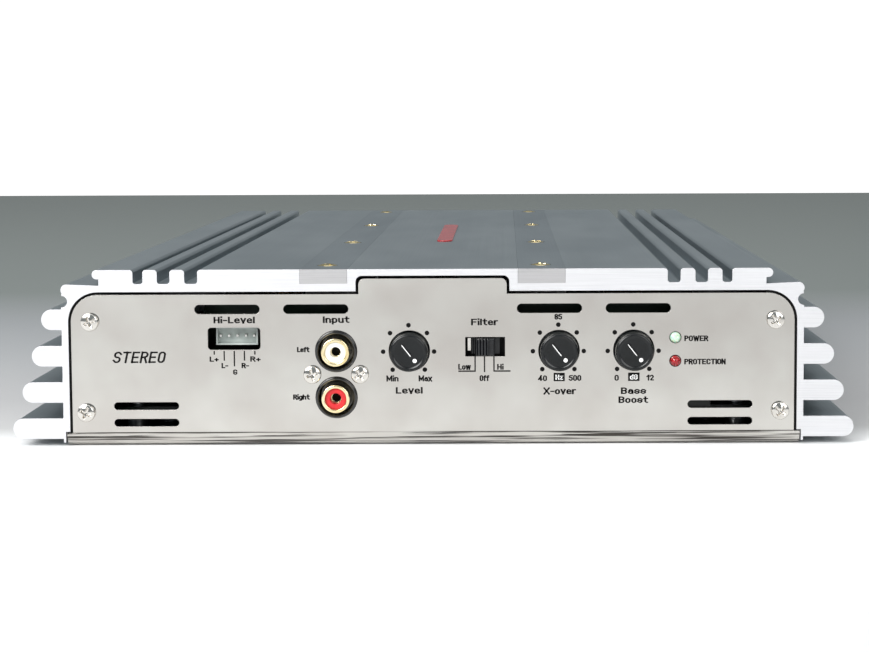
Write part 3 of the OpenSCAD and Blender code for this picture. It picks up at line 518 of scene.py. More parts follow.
def cross_recess(reach, width, depth, turn):
    """Carve function of a Phillips recess: two crossed arms with sloping walls, deepest in the middle."""
    c, s = math.cos(math.radians(turn)), math.sin(math.radians(turn))

    def sink(x, z):
        u, v = x * c + z * s, z * c - x * s

        def arm(a, b):
            return np.clip((width / 2 - abs(b)) / 0.12, 0, 1) * np.clip((reach - abs(a)) / 0.45, 0, 1)

        return depth * np.maximum(arm(u, v), arm(v, u)) * (1 - 0.35 * np.hypot(u, v) / reach)

    return sink


def screw_heads(name, spots, axis, radius, slot, turns, node):
    """Domed pan heads with Phillips recesses, one at each spot with its recess turned by that angle.

    The outline is a low dome, height 1.9 (1 - 0.3 (r / radius)^2), over a short rounded rim and a root.
    """
    dome = [(r, HEAD_HEIGHT * (1 - 0.30 * (r / radius) ** 2)) for r in np.linspace(0, 0.90 * radius, 22)]
    rim_at = 0.45 * HEAD_HEIGHT
    rim = arc((0.86 * radius, rim_at), 0.14 * radius, 55, 0, 5)
    rim[:, 1] = rim_at + (rim[:, 1] - rim_at) * (0.30 * HEAD_HEIGHT) / (0.14 * radius)
    outline = np.array([(0, -HEAD_ROOT), (radius, -HEAD_ROOT)] + rim[::-1].tolist() + dome[::-1])
    reach, width, depth = 0.66 * radius, 0.30 * radius, 0.62 * HEAD_HEIGHT
    heads = [
        turned(outline, spot, axis, 64, cross_recess(reach, width, depth, turn))
        for spot, turn in zip(spots, turns, strict=True)
    ]
    return put(name, closed_mesh(*joined(heads), smooth_angle=50), "case", MATERIALS[slot], [node])


def corner_spots(node, face_y):
    """Screw centres of a node that has one screw near each corner of its box."""
    low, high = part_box(node)
    mesh = np.empty(len(NODES[node].data.vertices) * 3)
    NODES[node].data.vertices.foreach_get("co", mesh)
    mesh = mesh.reshape(-1, 3)
    spots = []
    for sx in (-1, 1):
        for upper in (True, False):
            half = mesh[(mesh[:, 0] * sx > 0) & ((mesh[:, 2] > (low.z + high.z) / 2) == upper)]
            spots.append(((half[:, 0].min() + half[:, 0].max()) / 2, face_y,
                          (half[:, 2].min() + half[:, 2].max()) / 2))
    return spots


# ---------- case ----------


def soften_node(node, width, body="case", **settings):
    """Stands a softened copy in for a CAD node of the same shape."""
    slot = SLOT_OF[node]
    piece = put(node + "_eased", softened(node, width, **settings), body, MATERIALS[slot], [node])
    keep_flat = piece.modifiers.new("flat_faces", "WEIGHTED_NORMAL")
    keep_flat.keep_sharp, keep_flat.weight = True, 100
    return piece


def at_an_end(a, b):
    """Whether an edge lies in the plane of either sawn end of the extrusion."""
    return abs(a.y - b.y) < 1e-6 and abs(abs(a.y) - HALF_LEN) < 1e-6


soften_node("heatsink", 0.22, only=at_an_end)
for each_side in ("left", "right"):
    soften_node("top_bar_" + each_side, 0.25)
for each_plate in ("front_panel", "rear_panel"):
    soften_node(each_plate, 0.5, segments=4)
soften_node("top_badge", 0.15)

screw_heads(
    "front_screw_heads", corner_spots("front_panel_screws", FRONT_Y), FORWARD, PANEL_HEAD_R,
    "nickel_screws", (24, 66, 38, 52), "front_panel_screws",
)
screw_heads(
    "rear_screw_heads", corner_spots("rear_panel_screws", REAR_Y), BACKWARD, PANEL_HEAD_R,
    "nickel_screws", (12, 71, 47, 30), "rear_panel_screws",
)
BAR_SCREW_INSET = 14 * MM
BAR_SCREW_SPOTS = [
    (side * abs(middle("top_bar_left").x), y, TOP_Z - 1.4 * MM)
    for side in (-1, 1)
    for y in np.linspace(FRONT_Y + BAR_SCREW_INSET, REAR_Y - BAR_SCREW_INSET, 4)
]
screw_heads(
    "bar_screw_heads", BAR_SCREW_SPOTS, UPWARD, BAR_HEAD_R, "gold_screws",
    (40, 12, 75, 30, 58, 83, 21, 49), "bar_screws",
)

# ---------- input jacks ----------

JACK_X = middle("jack_shells").x
JACK_ZS = {"left": middle("insulator_left").z, "right": middle("insulator_right").z}
# outlines of (radius, height above the panel) in mm
COLLAR = rounded(
    [
        (6.08, -1.0), (6.12, 1.2), (5.2, 1.2), (5.2, -4.0),
        (3.9, -4.0), (3.9, -4.6), (6.0, -4.6), (6.08, -1.0),
    ],
    0.42, 5,
)
SHELL = rounded([(3.15, -3.9), (4.15, -3.9), (4.15, 3.6), (3.15, 3.6), (3.15, -3.9)], 0.30, 5)
INSULATOR = rounded(
    [(1.62, -1.0), (3.14, -1.0), (3.14, 2.85), (2.5, 2.95), (1.62, 2.9), (1.62, -1.0)], 0.25, 4
)
CONTACT = rounded([(1.35, -8.0), (1.64, -8.0), (1.64, 0.1), (1.35, 0.1), (1.35, -8.0)], 0.1, 2)
# a black disc a little way down each contact's hole: painted shade that darkens the hole
HOLE_SHADE_DISC = rounded([(0, -2.4), (1.4, -2.4), (1.4, -1.8), (0, -1.8)], 0.1, 2)


def each_jack(outline, zs):
    """The same turned outline at each jack."""
    return joined([turned(outline, (JACK_X, FRONT_Y, z), FORWARD, 96) for z in zs])


JACK_LOW, JACK_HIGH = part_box("jack_body")
jack_block = slab(
    (JACK_LOW.x / MM, FRONT_MM + 4.6, JACK_LOW.z / MM),
    (JACK_HIGH.x / MM, JACK_HIGH.y / MM, JACK_HIGH.z / MM),
)
put(
    "jack_collars", closed_mesh(*joined([each_jack(COLLAR, JACK_ZS.values()), jack_block])), "case",
    GLOSS_BLACK, ["jack_body"],
)
put(
    "jack_rims", closed_mesh(*each_jack(SHELL, JACK_ZS.values())), "case",
    MATERIALS["gold_contacts"], ["jack_shells"],
)
for each_side, each_z in JACK_ZS.items():
    slot_name = SLOT_OF["insulator_" + each_side]
    put(
        "jack_insulator_" + each_side, closed_mesh(*each_jack(INSULATOR, [each_z])), "case",
        MATERIALS[slot_name], ["insulator_" + each_side],
    )
put(
    "jack_inner_contacts", closed_mesh(*each_jack(CONTACT, JACK_ZS.values())), "case",
    MATERIALS["gold_contacts"], ["jack_contacts"],
)
# painted shade: black discs in the contacts' holes
put(
    "jack_sockets", closed_mesh(*each_jack(HOLE_SHADE_DISC, JACK_ZS.values())), "case",
    INK,
)
JACK_SCREW_Z, JACK_SCREW_REACH = middle("jack_screws").z, 7.05 * MM
screw_heads(
    "jack_screw_heads",
    [(JACK_X + side * JACK_SCREW_REACH, FRONT_Y, JACK_SCREW_Z) for side in (-1, 1)],
    FORWARD, PANEL_HEAD_R, "nickel_screws", (17, 33), "jack_screws",
)

# ---------- knobs ----------

# the slot's angle at rest, clockwise from the top, and the dot's distance from the shaft in mm
POINTER_TURN = math.radians(142)
DOT_AT = 2.95
KNOB_OUTLINE = np.concatenate(
    [
        rounded([(0, -2.2), (5.7, -2.2), (5.75, 0.3), (5.62, 3.2)], 0.3, 3),
        arc((4.85, 4.2), 0.76, -8, 90, 9) + [0, 0.02],
        [(4.6, 4.90), (4.45, 4.80)],
        even((4.2, 4.74), (0, 4.66), 46),
    ]
)


def pointer_slot(x, z):
    """A straight slot 0.55 mm deep, from 3.2 mm behind the centre to 1.35 mm before it; soft walls."""
    along = x * math.sin(POINTER_TURN) + z * math.cos(POINTER_TURN)
    across = x * math.cos(POINTER_TURN) - z * math.sin(POINTER_TURN)
    inside = np.clip((0.42 - abs(across)) / 0.12, 0, 1)
    return 0.55 * inside * np.clip((along + 3.2) / 0.12, 0, 1) * np.clip((1.35 - along) / 0.12, 0, 1)


def make_knob(control):
    """A glossy moulded knob with a rounded rim, a slightly sunk face and an engraved slot.

    Its dot is painted white, and a thin white strip runs along one wall of the slot.
    """
    x, _, z = KNOBS[control]
    body, centre = control + "_control", (x, FRONT_Y, z)
    knob = closed_mesh(*turned(KNOB_OUTLINE, centre, FORWARD, 192, pointer_slot), smooth_angle=50)
    put(
        control + "_knob_moulding", knob, body, MATERIALS["knob_plastic"],
        [control + "_knob"],
    )
    ahead = np.array([math.sin(POINTER_TURN), math.cos(POINTER_TURN)])
    aside = np.array([math.cos(POINTER_TURN), -math.sin(POINTER_TURN)])
    dot_x, dot_z = np.array([x, z]) + DOT_AT * MM * ahead
    dot = rounded([(0, 4.2), (0.62, 4.2), (0.62, 4.8), (0, 4.86)], 0.12, 3)
    put(
        control + "_dot", closed_mesh(*turned(dot, (dot_x, FRONT_Y, dot_z), FORWARD, 32)), body,
        WHITE_PAINT,
    )
    # a thin white strip on the slot's floor, along one wall
    line = np.array([x, z]) / MM + 0.2 * aside + np.outer((-2.95, 1.05), ahead)
    slot_line = ribbon(line, (0.22, 0.22), FRONT_MM - 4.1, -1, 0.3)
    put(control + "_slot_paint", ink_mesh([slot_line]), body, WHITE_PAINT)


# ---------- filter switch ----------


RIB_PITCH, RIBS_WIDE = 0.92, 3.75
LEVER_EDGE = 0.35


def lever_mesh():
    """The lever's front as a height over a grid: rounded ribs on the left, a smooth step on the right.

    Height above the panel in mm: 2.15 - 0.75 (1 - |cos(pi x / 0.92)|^0.5) over the ribs and 1.25 - 0.25 z
    over the step, rounded off by 0.35 mm at the edge. Walls run from there to 6.4 mm behind the panel.
    """
    low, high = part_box("filter_lever")
    x = np.linspace(0, 1, 121)
    z = np.linspace(0, 1, 25)
    gx, gz = np.meshgrid(x, z, indexing="ij")
    wide = (high.x - low.x) / MM
    ribs = 2.15 - 0.75 * (1 - np.sqrt(abs(np.cos(gx * wide * math.pi / RIB_PITCH))))
    step = 1.25 - 0.25 * gz
    blend = np.clip((gx * wide - RIBS_WIDE) / 0.12, 0, 1)
    height = ribs * (1 - blend) + step * blend
    edge = np.minimum.reduce([gx * wide, (1 - gx) * wide, gz * 5.1, (1 - gz) * 5.1])
    height = height - LEVER_EDGE * (1 - np.clip(edge / LEVER_EDGE, 0, 1)) ** 2
    px, pz = low.x + gx * (high.x - low.x), low.z + gz * (high.z - low.z)
    front = np.stack([px, FRONT_Y - height * MM, pz], axis=-1).reshape(-1, 3)
    back = np.stack([px, FRONT_Y + 6.4 * MM + 0 * px, pz], axis=-1).reshape(-1, 3)
    ids = np.arange(front.shape[0]).reshape(gx.shape)
    ring = np.concatenate([ids[:, 0], ids[-1, 1:], ids[-2::-1, -1], ids[0, -2:0:-1]])
    beside = np.roll(ring, -1)
    walls = np.stack([ring, beside, beside + len(front), ring + len(front)], axis=-1)
    faces = grid_faces(len(x), len(z), wrap=False)
    return closed_mesh(
        np.concatenate([front, back]), np.concatenate([faces, faces[:, ::-1] + len(front), walls]), 45
    )


put(
    "lever_cap", lever_mesh(), "filter_slider", MATERIALS["lever_plastic"],
    ["filter_lever"],
)
LEVER_X, LEVER_Z = middle("filter_lever").x / MM, middle("filter_lever").z / MM
put(
    "switch_shutter",
    closed_mesh(*slab(
        (LEVER_X - 8.6, FRONT_MM + 3.6, LEVER_Z - 4.0), (LEVER_X + 8.6, FRONT_MM + 4.2, LEVER_Z + 4.0)
    )),
    "filter_slider", INK,
)
put(
    "shutter_stop",
    closed_mesh(*slab(
        (LEVER_X - 5.2, FRONT_MM + 2.2, LEVER_Z - 1.4), (LEVER_X - 4.3, FRONT_MM + 3.7, LEVER_Z + 2.3)
    )),
    "filter_slider", MATERIALS["nickel_screws"],
)

# left and right edge of each rib, in mm from the lever's middle
SHUTTER_RIBS = [(-4.05 + 0.62 * i, -3.75 + 0.62 * i) for i in range(3)] + [(2.7, 4.3)]
put(
    "shutter_ribs",
    closed_mesh(*joined([
        slab((LEVER_X + a, FRONT_MM + 2.2, LEVER_Z - 2.4), (LEVER_X + b, FRONT_MM + 3.7, LEVER_Z + 2.4))
        for a, b in SHUTTER_RIBS
    ])),
    "filter_slider", MATERIALS["lever_plastic"],
)

# ---------- lamps ----------

LAMP = np.concatenate([[(0, -3.0), (1.55, -3.0), (1.55, 0.15)], arc((0, 0.15), 1.55, 6, 90, 14)])
for each_lamp in ("power_led", "protection_led"):
    lamp_slot, at = SLOT_OF[each_lamp], middle(each_lamp)
    put(
        each_lamp + "_dome", closed_mesh(*turned(LAMP, (at.x, FRONT_Y, at.z), FORWARD, 48)), "case",
        MATERIALS[lamp_slot], [each_lamp],
    )

# ---------- printing on the front panel ----------

PRINT_LIFT, PRINT_ROOT = 0.03, 0.02


def flat_disc(x, z, radius):
    """A printed dot centred at x, z mm, sunk a little so that it has no gap behind it."""
    outline = np.array([(0, -PRINT_ROOT), (radius, -PRINT_ROOT), (radius, PRINT_LIFT), (0, PRINT_LIFT)])
    return turned(outline, (x * MM, FRONT_Y, z * MM), FORWARD, 28)


def rule(x0, z0, x1, z1):
    """A printed line or block between two corners in mm."""
    return slab((x0, FRONT_MM - PRINT_LIFT, z0), (x1, FRONT_MM + PRINT_ROOT, z1))


# Each letter's strokes: pairs of hex digits are points, x then height, with capitals 14 high and small
# letters 10; a slash starts a new stroke.
STROKES = {
    "A": "00 4e 80/14 74", "B": "0e 5e 7c 79 57 07/57 75 72 50 00/00 0e",
    "C": "7b 7c 5e 2e 0c 02 20 50 72 73",
    "D": "0e 4e 7b 73 40 00/00 0e", "E": "7e 0e 00 70/07 67", "F": "7e 0e 00/07 67",
    "G": "7b 7c 5e 2e 0c 02 20 50 72 76 46", "H": "00 0e/70 7e/07 77", "I": "00 0e",
    "K": "00 0e/7e 06/38 70",
    "L": "0e 00 60", "M": "00 0e 54 ae a0", "N": "00 0e 70 7e", "O": "20 50 72 7c 5e 2e 0c 02 20",
    "P": "0e 5e 7c 79 57 07/00 0e", "R": "0e 5e 7c 79 57 07/00 0e/47 70",
    "S": "02 20 50 72 75 57 27 09 0c 2e 5e 7c",
    "T": "4e 40/0e 8e", "U": "0e 02 20 50 72 7e", "V": "0e 40 8e", "W": "0e 30 6c 90 ce",
    "X": "00 8e/0e 80",
    "a": "18 2a 4a 68 60/66 26 04 02 20 40 63", "d": "6e 60/68 4a 2a 08 02 20 40 62",
    "e": "05 65 68 4a 2a 08 02 20 40 61", "f": "20 2c 3e 5e/0a 5a", "h": "00 0e/08 2a 4a 68 60",
    "g": "6e 62 40 10/6c 4e 2e 0c 06 24 44 66", "i": "00 09/0e 0f", "l": "00 0e",
    "n": "00 0a/08 2a 4a 68 60",
    "o": "20 40 62 68 4a 2a 08 02 20", "p": "00 0e/0c 2e 4e 6c 66 44 24 06", "r": "00 0a/07 2a 4a",
    "s": "02 20 40 62 64 45 25 06 08 2a 4a 68", "t": "2e 22 40 50/0a 5a", "u": "0a 02 20 40 62/6a 60",
    "v": "0a 30 6a", "w": "0a 20 5a 80 aa", "x": "00 6a/0a 60", "z": "0a 6a 00 60",
    "0": "20 40 62 6c 4e 2e 0c 02 20", "1": "0b 3e 30", "2": "0c 2e 4e 6c 69 00 60",
    "3": "0c 2e 4e 6c 69 47 27/47 65 62 40 20 02", "4": "50 5e 04 74",
    "5": "6e 0e 08 29 49 67 62 40 20 02",
    "8": "27 09 0c 2e 4e 6c 69 47 27/47 65 62 40 20 02 05 27", "+": "39 31/05 65", "-": "06 46",
}
CURVED = set("BCDGOPRSUadefghnoprstu023589")
BELOW_LINE = {"g": 4, "p": 4}
LETTER_GAP = 4.2


def ribbon(path, pen, face, out, lift):
    """A stroke of ink: a thin rectangle carried along a path in the panel's plane, mitred at corners.

    The pen is (w, h): upright strokes are w thick and level ones h. At each point the two sides are
    path +- (w, h)/2 times m, where m is the mean of the two normals there, divided by how far it leans
    from either; an open path runs on by half a pen at each end.
    """
    nib = np.array(pen) / 2
    closed = np.allclose(path[0], path[-1])
    points = np.array(path[:-1] if closed else path, dtype=float)
    if not closed:
        first, last = points[0] - points[1], points[-1] - points[-2]
        first, last = first / np.hypot(*first), last / np.hypot(*last)
        points[0] += first * (abs(first) @ nib)
        points[-1] += last * (abs(last) @ nib)
    if closed:
        before, after = np.roll(points, 1, axis=0), np.roll(points, -1, axis=0)
    else:
        before = np.vstack([2 * points[0] - points[1], points[:-1]])
        after = np.vstack([points[1:], 2 * points[-1] - points[-2]])

    def normal(a, b):
        d = (b - a) / np.linalg.norm(b - a, axis=1)[:, None]
        return np.stack([-d[:, 1], d[:, 0]], axis=-1)

    n0, n1 = normal(before, points), normal(points, after)
    mean = n0 + n1
    lean = np.clip((mean * n0).sum(axis=1), 0.55, None)[:, None]
    offset = mean / lean * nib
    left, right = points + offset, points - offset
    high, low = face + out * lift, face - out * PRINT_ROOT
    corners = [(left, high), (right, high), (right, low), (left, low)]
    solid = np.stack([np.stack([c[:, 0], 0 * c[:, 0] + y, c[:, 1]], axis=-1) for c, y in corners], axis=1)
    n = len(points)
    faces = grid_faces(n, 4).tolist()
    if closed:
        faces += [[(n - 1) * 4 + i, (n - 1) * 4 + (i + 1) % 4, (i + 1) % 4, i] for i in range(4)]
    else:
        faces += [[3, 2, 1, 0], [(n - 1) * 4 + i for i in range(4)]]
    return solid.reshape(-1, 3) * MM, faces


def split_at_points(line):
    """Cuts a path where it turns back by more than a right angle and a bit, as at the feet of an M."""
    step = np.diff(line, axis=0)
    step /= np.linalg.norm(step, axis=1)[:, None]
    turns = (step[1:] * step[:-1]).sum(axis=1)
    cuts = [0] + [int(i) + 1 for i in np.flatnonzero(turns < -0.15)] + [len(line) - 1]
    return [line[a : b + 1] for a, b in zip(cuts, cuts[1:])]


def lettering(words, x, z, cap, width, pen, slant=0.0, face=FRONT_MM, out=-1, lift=PRINT_LIFT):
    """Words in pen strokes: cap is the capitals' height and width the line's, centred on x, all mm."""
    strokes, at = [], 0.0
    for letter in words:
        if letter == " ":
            at += 7.0
            continue
        reach = 0
        for stroke in STROKES[letter].split("/"):
            drop = BELOW_LINE.get(letter, 0)
            path = np.array([(int(p[0], 16), int(p[1], 16) - drop) for p in stroke.split()])
            reach = max(reach, path[:, 0].max())
            strokes.append((path + [at, 0.0], letter in CURVED))
        at += reach + LETTER_GAP
    span = at - LETTER_GAP
    bits = []
    for path, curved in strokes:
        px = (path[:, 0] / span - 0.5) * (width - pen[0])
        pz = pen[1] / 2 + path[:, 1] / 14 * (cap - pen[1])
        px = px + slant * pz
        line = np.stack([x - out * px, z + pz], axis=-1)
        if curved and len(line) > 2:
            ring = np.allclose(line[0], line[-1])
            if ring:
                mid = (line[0] + line[1]) / 2
                line = np.vstack([mid, line[1:], mid])
            line = rounded(line.tolist(), 0.35 * cap, 3)
        for straight in split_at_points(line):
            bits.append(ribbon(straight, pen, face, out, lift))
    return bits


def ink_mesh(parts):
    """One mesh of many closed bits of ink, each an array of points and a list of faces of any size."""
    points, faces, first = [], [], 0
    for bit_points, bit_faces in parts:
        points.append(bit_points)
        faces.extend([tuple(int(i) + first for i in face) for face in bit_faces])
        first += len(bit_points)
    mesh = bpy.data.meshes.new("ink")
    mesh.from_pydata(np.concatenate(points).tolist(), [], faces)
    shaped = bmesh.new()
    shaped.from_mesh(mesh)
    bmesh.ops.remove_doubles(shaped, verts=shaped.verts, dist=1e-8)
    bmesh.ops.recalc_face_normals(shaped, faces=shaped.faces)
    shaped.to_mesh(mesh)
    shaped.free()
    return mesh


for each_control in KNOBS:
    make_knob(each_control)

# the printing's sizes of letter, in mm, and each word's middle, foot and width
HEADING = dict(cap=1.95, pen=(0.58, 0.36))
MEDIUM = dict(cap=1.72, pen=(0.46, 0.34))
SMALL = dict(cap=1.55, pen=(0.46, 0.32))
FRONT_WORDS = [
    ("Hi-Level", -58.8, 36.75, 12.25, HEADING),
    ("Input", -28.6, 36.75, 7.9, HEADING),
    ("Level", -7.1, 15.55, 8.0, HEADING),
    ("Filter", 15.35, 35.9, 8.0, HEADING),
    ("X-over", 37.6, 15.2, 9.7, HEADING),
    ("Bass", 59.5, 15.2, 7.5, HEADING),
    ("Boost", 59.45, 12.5, 8.8, HEADING),
    ("Left", -38.45, 28.05, 3.7, SMALL),
    ("Right", -39.15, 13.85, 4.95, SMALL),
    ("Min", -12.05, 19.2, 3.6, MEDIUM),
    ("Max", -2.3, 19.2, 4.0, MEDIUM),
    ("Low", 9.35, 22.65, 3.75, MEDIUM),
    ("Off", 15.25, 19.25, 2.9, MEDIUM),
    ("Hi", 20.0, 22.6, 1.95, MEDIUM),
    ("85", 37.2, 37.5, 2.3, MEDIUM),
    ("40", 32.5, 19.15, 2.65, MEDIUM),
    ("500", 42.15, 19.2, 3.7, MEDIUM),
    ("0", 54.5, 19.2, 1.3, MEDIUM),
    ("12", 64.45, 19.2, 2.2, MEDIUM),
    ("POWER", 78.1, 30.95, 7.1, dict(SMALL, cap=1.65)),
    ("PROTECTION", 80.7, 24.0, 12.3, dict(SMALL, cap=1.65)),
    ("L+", -64.9, 25.3, 2.7, SMALL),
    ("R+", -52.65, 25.3, 3.1, SMALL),
    ("L-", -61.75, 23.35, 2.0, SMALL),
    ("R-", -55.7, 23.35, 2.2, SMALL),
    ("G", -58.7, 21.4, 1.3, SMALL),
]
# each header pin's tick: its place along the panel and its foot
TICK_TOP = 28.5
INPUT_TICKS = [(-64.85, 27.4), (-61.9, 25.6), (-58.9, 23.9), (-55.9, 25.6), (-52.8, 27.4)]
# angle from the top and distance from the shaft of each printed dot, and how far the print sits left
DIAL_DOTS = [(0, 7.7)] + [
    (side * turn, far) for turn, far in ((45.6, 7.65), (91.5, 7.55), (139.5, 7.35)) for side in (1, -1)
]
DIAL_SHIFT = 0.2


def front_ink():
    """All the black printing of the front panel: words, dial dots, ticks and the two unit boxes."""
    bits = []
    for words, x, z, wide, style in FRONT_WORDS:
        bits += lettering(words, x, z, width=wide, **style)
    bits += lettering("STEREO", -87.4, 25.0, 3.4, 15.4, (0.62, 0.5), slant=0.22)
    for x, _, z in KNOBS.values():
        for degrees, far in DIAL_DOTS:
            turn = math.radians(degrees)
            dot_x, dot_z = x / MM + far * math.sin(turn) - DIAL_SHIFT, z / MM + far * math.cos(turn)
            bits.append(flat_disc(dot_x, dot_z, 0.69))
    bits += [rule(x - 0.2, bottom, x + 0.2, TICK_TOP) for x, bottom in INPUT_TICKS]
    bits += [
        rule(7.5, 22.0, 12.7, 22.42), rule(12.3, 22.3, 12.7, 26.7), rule(15.1, 21.9, 15.5, 26.7),
        rule(17.9, 22.0, 23.0, 22.42), rule(17.9, 22.3, 18.3, 26.7),
        rule(35.8, 19.1, 39.1, 21.6), rule(57.9, 19.1, 61.3, 21.6),
    ]
    return bits


# centre and radius of the middle of the gap round each upper corner
GAP_CORNER_X, GAP_CORNER_Z, GAP_CORNER_R = 99.2, 37.3, 8.4
SHADE_STRIP_PEN = (0.72, 0.72)


def gap_seals():
    """A black strip in the gap between each end panel and the case, up each side and round the corner: painted
    shade that darkens the gap.
    """
    shade_strips = []
    for side in (-1, 1):
        corner = arc((GAP_CORNER_X, GAP_CORNER_Z), GAP_CORNER_R, 0, 90, 14)
        line = np.vstack([[(GAP_CORNER_X + GAP_CORNER_R, BEND_TOP + 0.6)], corner]) * (side, 1)
        shade_strips.append(ribbon(line, SHADE_STRIP_PEN, FRONT_MM + 0.7, -1, 0.05))
        shade_strips.append(ribbon(line, SHADE_STRIP_PEN, REAR_MM - 0.7, 1, 0.05))
    return shade_strips


# black strips of painted shade in the gaps round the end panels
put("gap_seals", ink_mesh(gap_seals()), "case", INK)
put("panel_print", ink_mesh(front_ink()), "case", INK)
UNITS = lettering("Hz", 37.45, 19.55, 1.5, 2.2, (0.34, 0.22), lift=2 * PRINT_LIFT)
UNITS += lettering("dB", 59.6, 19.55, 1.5, 2.3, (0.34, 0.22), lift=2 * PRINT_LIFT)
put("unit_print", ink_mesh(UNITS), "case", WHITE_PAINT)

# ---------- input header ----------

HEADER_LOW, HEADER_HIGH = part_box("input_header")


def header_parts():
    """An open-fronted nylon shell with a thin wall and a shallow floor: four walls and the floor."""
    x0, y0, z0 = (c / MM for c in HEADER_LOW)
    x1, y1, z1 = (c / MM for c in HEADER_HIGH)
    wall, floor_y = 0.42, y0 + 2.6
    return [
        slab((x0, y0, z0), (x1, floor_y, z0 + wall)), slab((x0, y0, z1 - wall), (x1, floor_y, z1)),
        slab((x0, y0, z0 + wall), (x0 + wall, floor_y, z1 - wall)),
        slab((x1 - wall, y0, z0 + wall), (x1, floor_y, z1 - wall)),
        slab((x0, floor_y, z0), (x1, y1, z1)),
    ]


put(
    "header_shell", closed_mesh(*joined(header_parts()), smooth_angle=20), "case",
    MATERIALS["nylon_header"], ["input_header"],
)

# ---------- rear ----------

STRIP_MID = middle("terminal_screws").z / MM
POWER_PITCH, SPEAKER_PITCH = 13, 10.5
POWER_XS = [middle("power_strip").x / MM + (i - 1) * POWER_PITCH for i in range(3)]
SPEAKER_XS = [middle("speaker_strip").x / MM + (i - 1.5) * SPEAKER_PITCH for i in range(4)]
screw_heads(
    "terminal_screw_heads", [(x * MM, REAR_Y - 0.8 * MM, STRIP_MID * MM) for x in POWER_XS + SPEAKER_XS],
    BACKWARD, 3.0, "gold_screws", (15, 62, 37, 80, 28, 51, 70), "terminal_screws",
)
for each_strip in ("power_strip", "speaker_strip", "fuse_holder"):
    soften_node(each_strip, 0.25)
soften_node("terminal_plates", 0.12)
for each_fuse, fuse_node in (("upper_fuse", "fuse_upper"), ("lower_fuse", "fuse_lower")):
    soften_node(fuse_node, 0.3, body=each_fuse)
    fuse_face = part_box(fuse_node)[1].y / MM - 0.02
    digits = lettering(
        "30", 0, middle(fuse_node).z / MM - 1.1, 2.2, 3.2, (0.4, 0.32), face=fuse_face, out=1
    )
    put(each_fuse + "_rating", ink_mesh(digits), each_fuse, WHITE_PAINT)


def rear_ink():
    """The rear panel's printing: what each terminal is."""
    small = dict(cap=1.9, pen=(0.42, 0.34), face=REAR_MM, out=1)
    large = dict(cap=2.3, pen=(0.58, 0.42), face=REAR_MM, out=1)
    label_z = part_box("power_strip")[1].z / MM + 1.6
    bits = []
    for words, x, wide in zip(("+12V", "REM", "GND"), POWER_XS[::-1], (6.4, 5.4, 5.4)):
        bits += lettering(words, x, label_z, width=wide, **small)
    for words, x in zip(("L+", "L-", "R+", "R-"), SPEAKER_XS[::-1]):
        bits += lettering(words, x, label_z, width=3.0, **small)
    bits += lettering("POWER", POWER_XS[1], label_z + 4.0, width=13.0, **large)
    bits += lettering("SPEAKERS", sum(SPEAKER_XS) / 4, label_z + 4.0, width=19.0, **large)
    bits += lettering("FUSE", 0, label_z + 10.0, width=9.0, **large)
    return bits


put("rear_print", ink_mesh(rear_ink()), "case", INK)

# ---------- stage ----------


# where the floor's shading starts and how far it runs, and its tone at places between, by Y in metres
SHADE_FROM, SHADE_RUN = -0.55, 1.2
FLOOR_TONES = [
    (-0.40, "c4c4c4"), (-0.28, "d2d2d2"), (-0.20, "e2e2e2"), (-0.145, "eeeeee"), (-0.12, "b8b8b8"),
    (-0.064, "a8a8a9"), (0.06, "949698"), (0.165, "85888a"), (0.30, "6e7472"),
]


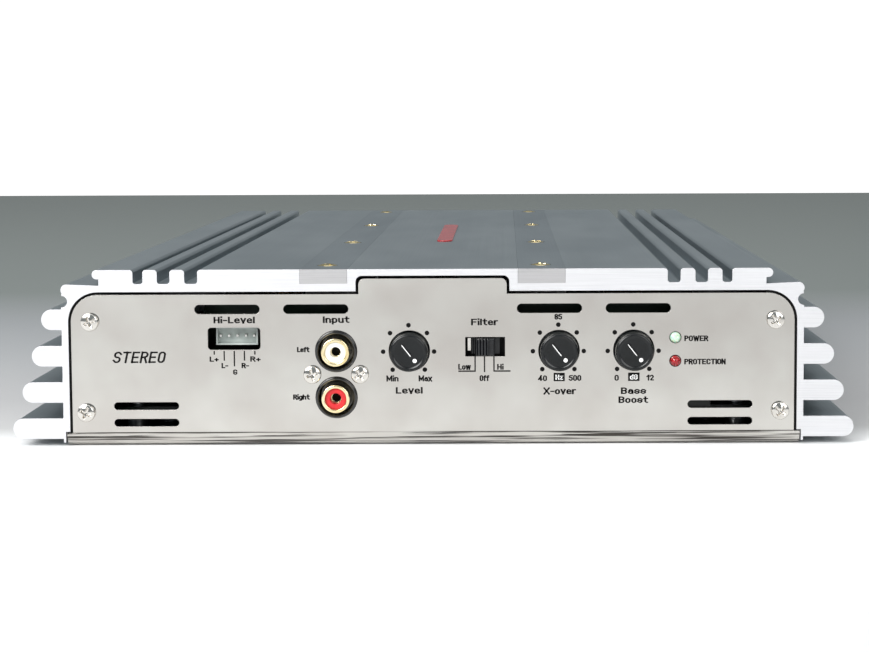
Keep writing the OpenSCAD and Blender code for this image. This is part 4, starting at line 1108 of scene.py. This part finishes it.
def make_stage():
    """A white table that deepens to grey behind the object, and a white wall far behind it."""
    floor_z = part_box("bottom_plate")[0].z - 0.05 * MM
    near, far, half = -3.0, 1.372, 5.0
    floor_mesh = bpy.data.meshes.new("floor")
    floor_mesh.from_pydata(
        [(-half, near, floor_z), (half, near, floor_z), (half, far, floor_z), (-half, far, floor_z)], [],
        [(0, 1, 2, 3)],
    )
    wall_mesh = bpy.data.meshes.new("wall")
    wall_mesh.from_pydata(
        [(-half, far, floor_z), (half, far, floor_z), (half, far, 3.0), (-half, far, 3.0)], [],
        [(0, 3, 2, 1)],
    )
    made, tree, output = new_material("studio_paper")
    place = add(tree, "ShaderNodeTexCoord").outputs["Object"]
    axes = add(tree, "ShaderNodeSeparateXYZ", {"Vector": place}).outputs
    near_fade = spread_from(tree, axes["Y"], SHADE_FROM, SHADE_FROM + SHADE_RUN)
    ramp = add(tree, "ShaderNodeValToRGB", {"Fac": near_fade})
    stops = ramp.color_ramp.elements
    stops[0].position, stops[0].color = 0.0, linear("bcbcbc")
    stops[1].position, stops[1].color = 1.0, linear("6f7573")
    for y, tone in FLOOR_TONES:
        stop = stops.new((y - SHADE_FROM) / SHADE_RUN)
        stop.color = linear(tone)
    paper = {"Base Color": ramp.outputs["Color"], "Roughness": 0.9}
    shader = add(tree, "ShaderNodeBsdfPrincipled", paper)
    tree.links.new(shader.outputs["BSDF"], output.inputs["Surface"])
    glow, glow_tree, glow_output = new_material("lit_wall")
    shine = add(glow_tree, "ShaderNodeEmission", {"Color": (1, 1, 1, 1), "Strength": 1.1})
    glow_tree.links.new(shine.outputs["Emission"], glow_output.inputs["Surface"])
    for name, mesh, material in (("floor", floor_mesh, made), ("wall", wall_mesh, glow)):
        mesh.materials.append(material)
        thing = bpy.data.objects.new(name, mesh)
        bpy.context.scene.collection.objects.link(thing)
        thing.visible_glossy = name == "floor"
    world = bpy.data.worlds.new("surround")
    world.use_nodes = True
    world.node_tree.nodes["Background"].inputs["Color"].default_value = linear("868c8e")
    world.node_tree.nodes["Background"].inputs["Strength"].default_value = 1.0
    bpy.context.scene.world = world


make_camera()
make_stage()
bpy.context.scene.view_settings.view_transform = "Standard"
area_light("front_key", (-0.9, -1.2, 0.9), (-0.15, FRONT_Y, 0.03), (1.2, 0.8), 38)
area_light("front_fill", (0.7, -1.2, 0.6), (0, FRONT_Y, 0.03), (0.8, 0.8), 8)
area_light("overhead", (0, 0.1, 1.4), (0, 0, 0), (1.0, 1.4), 7)
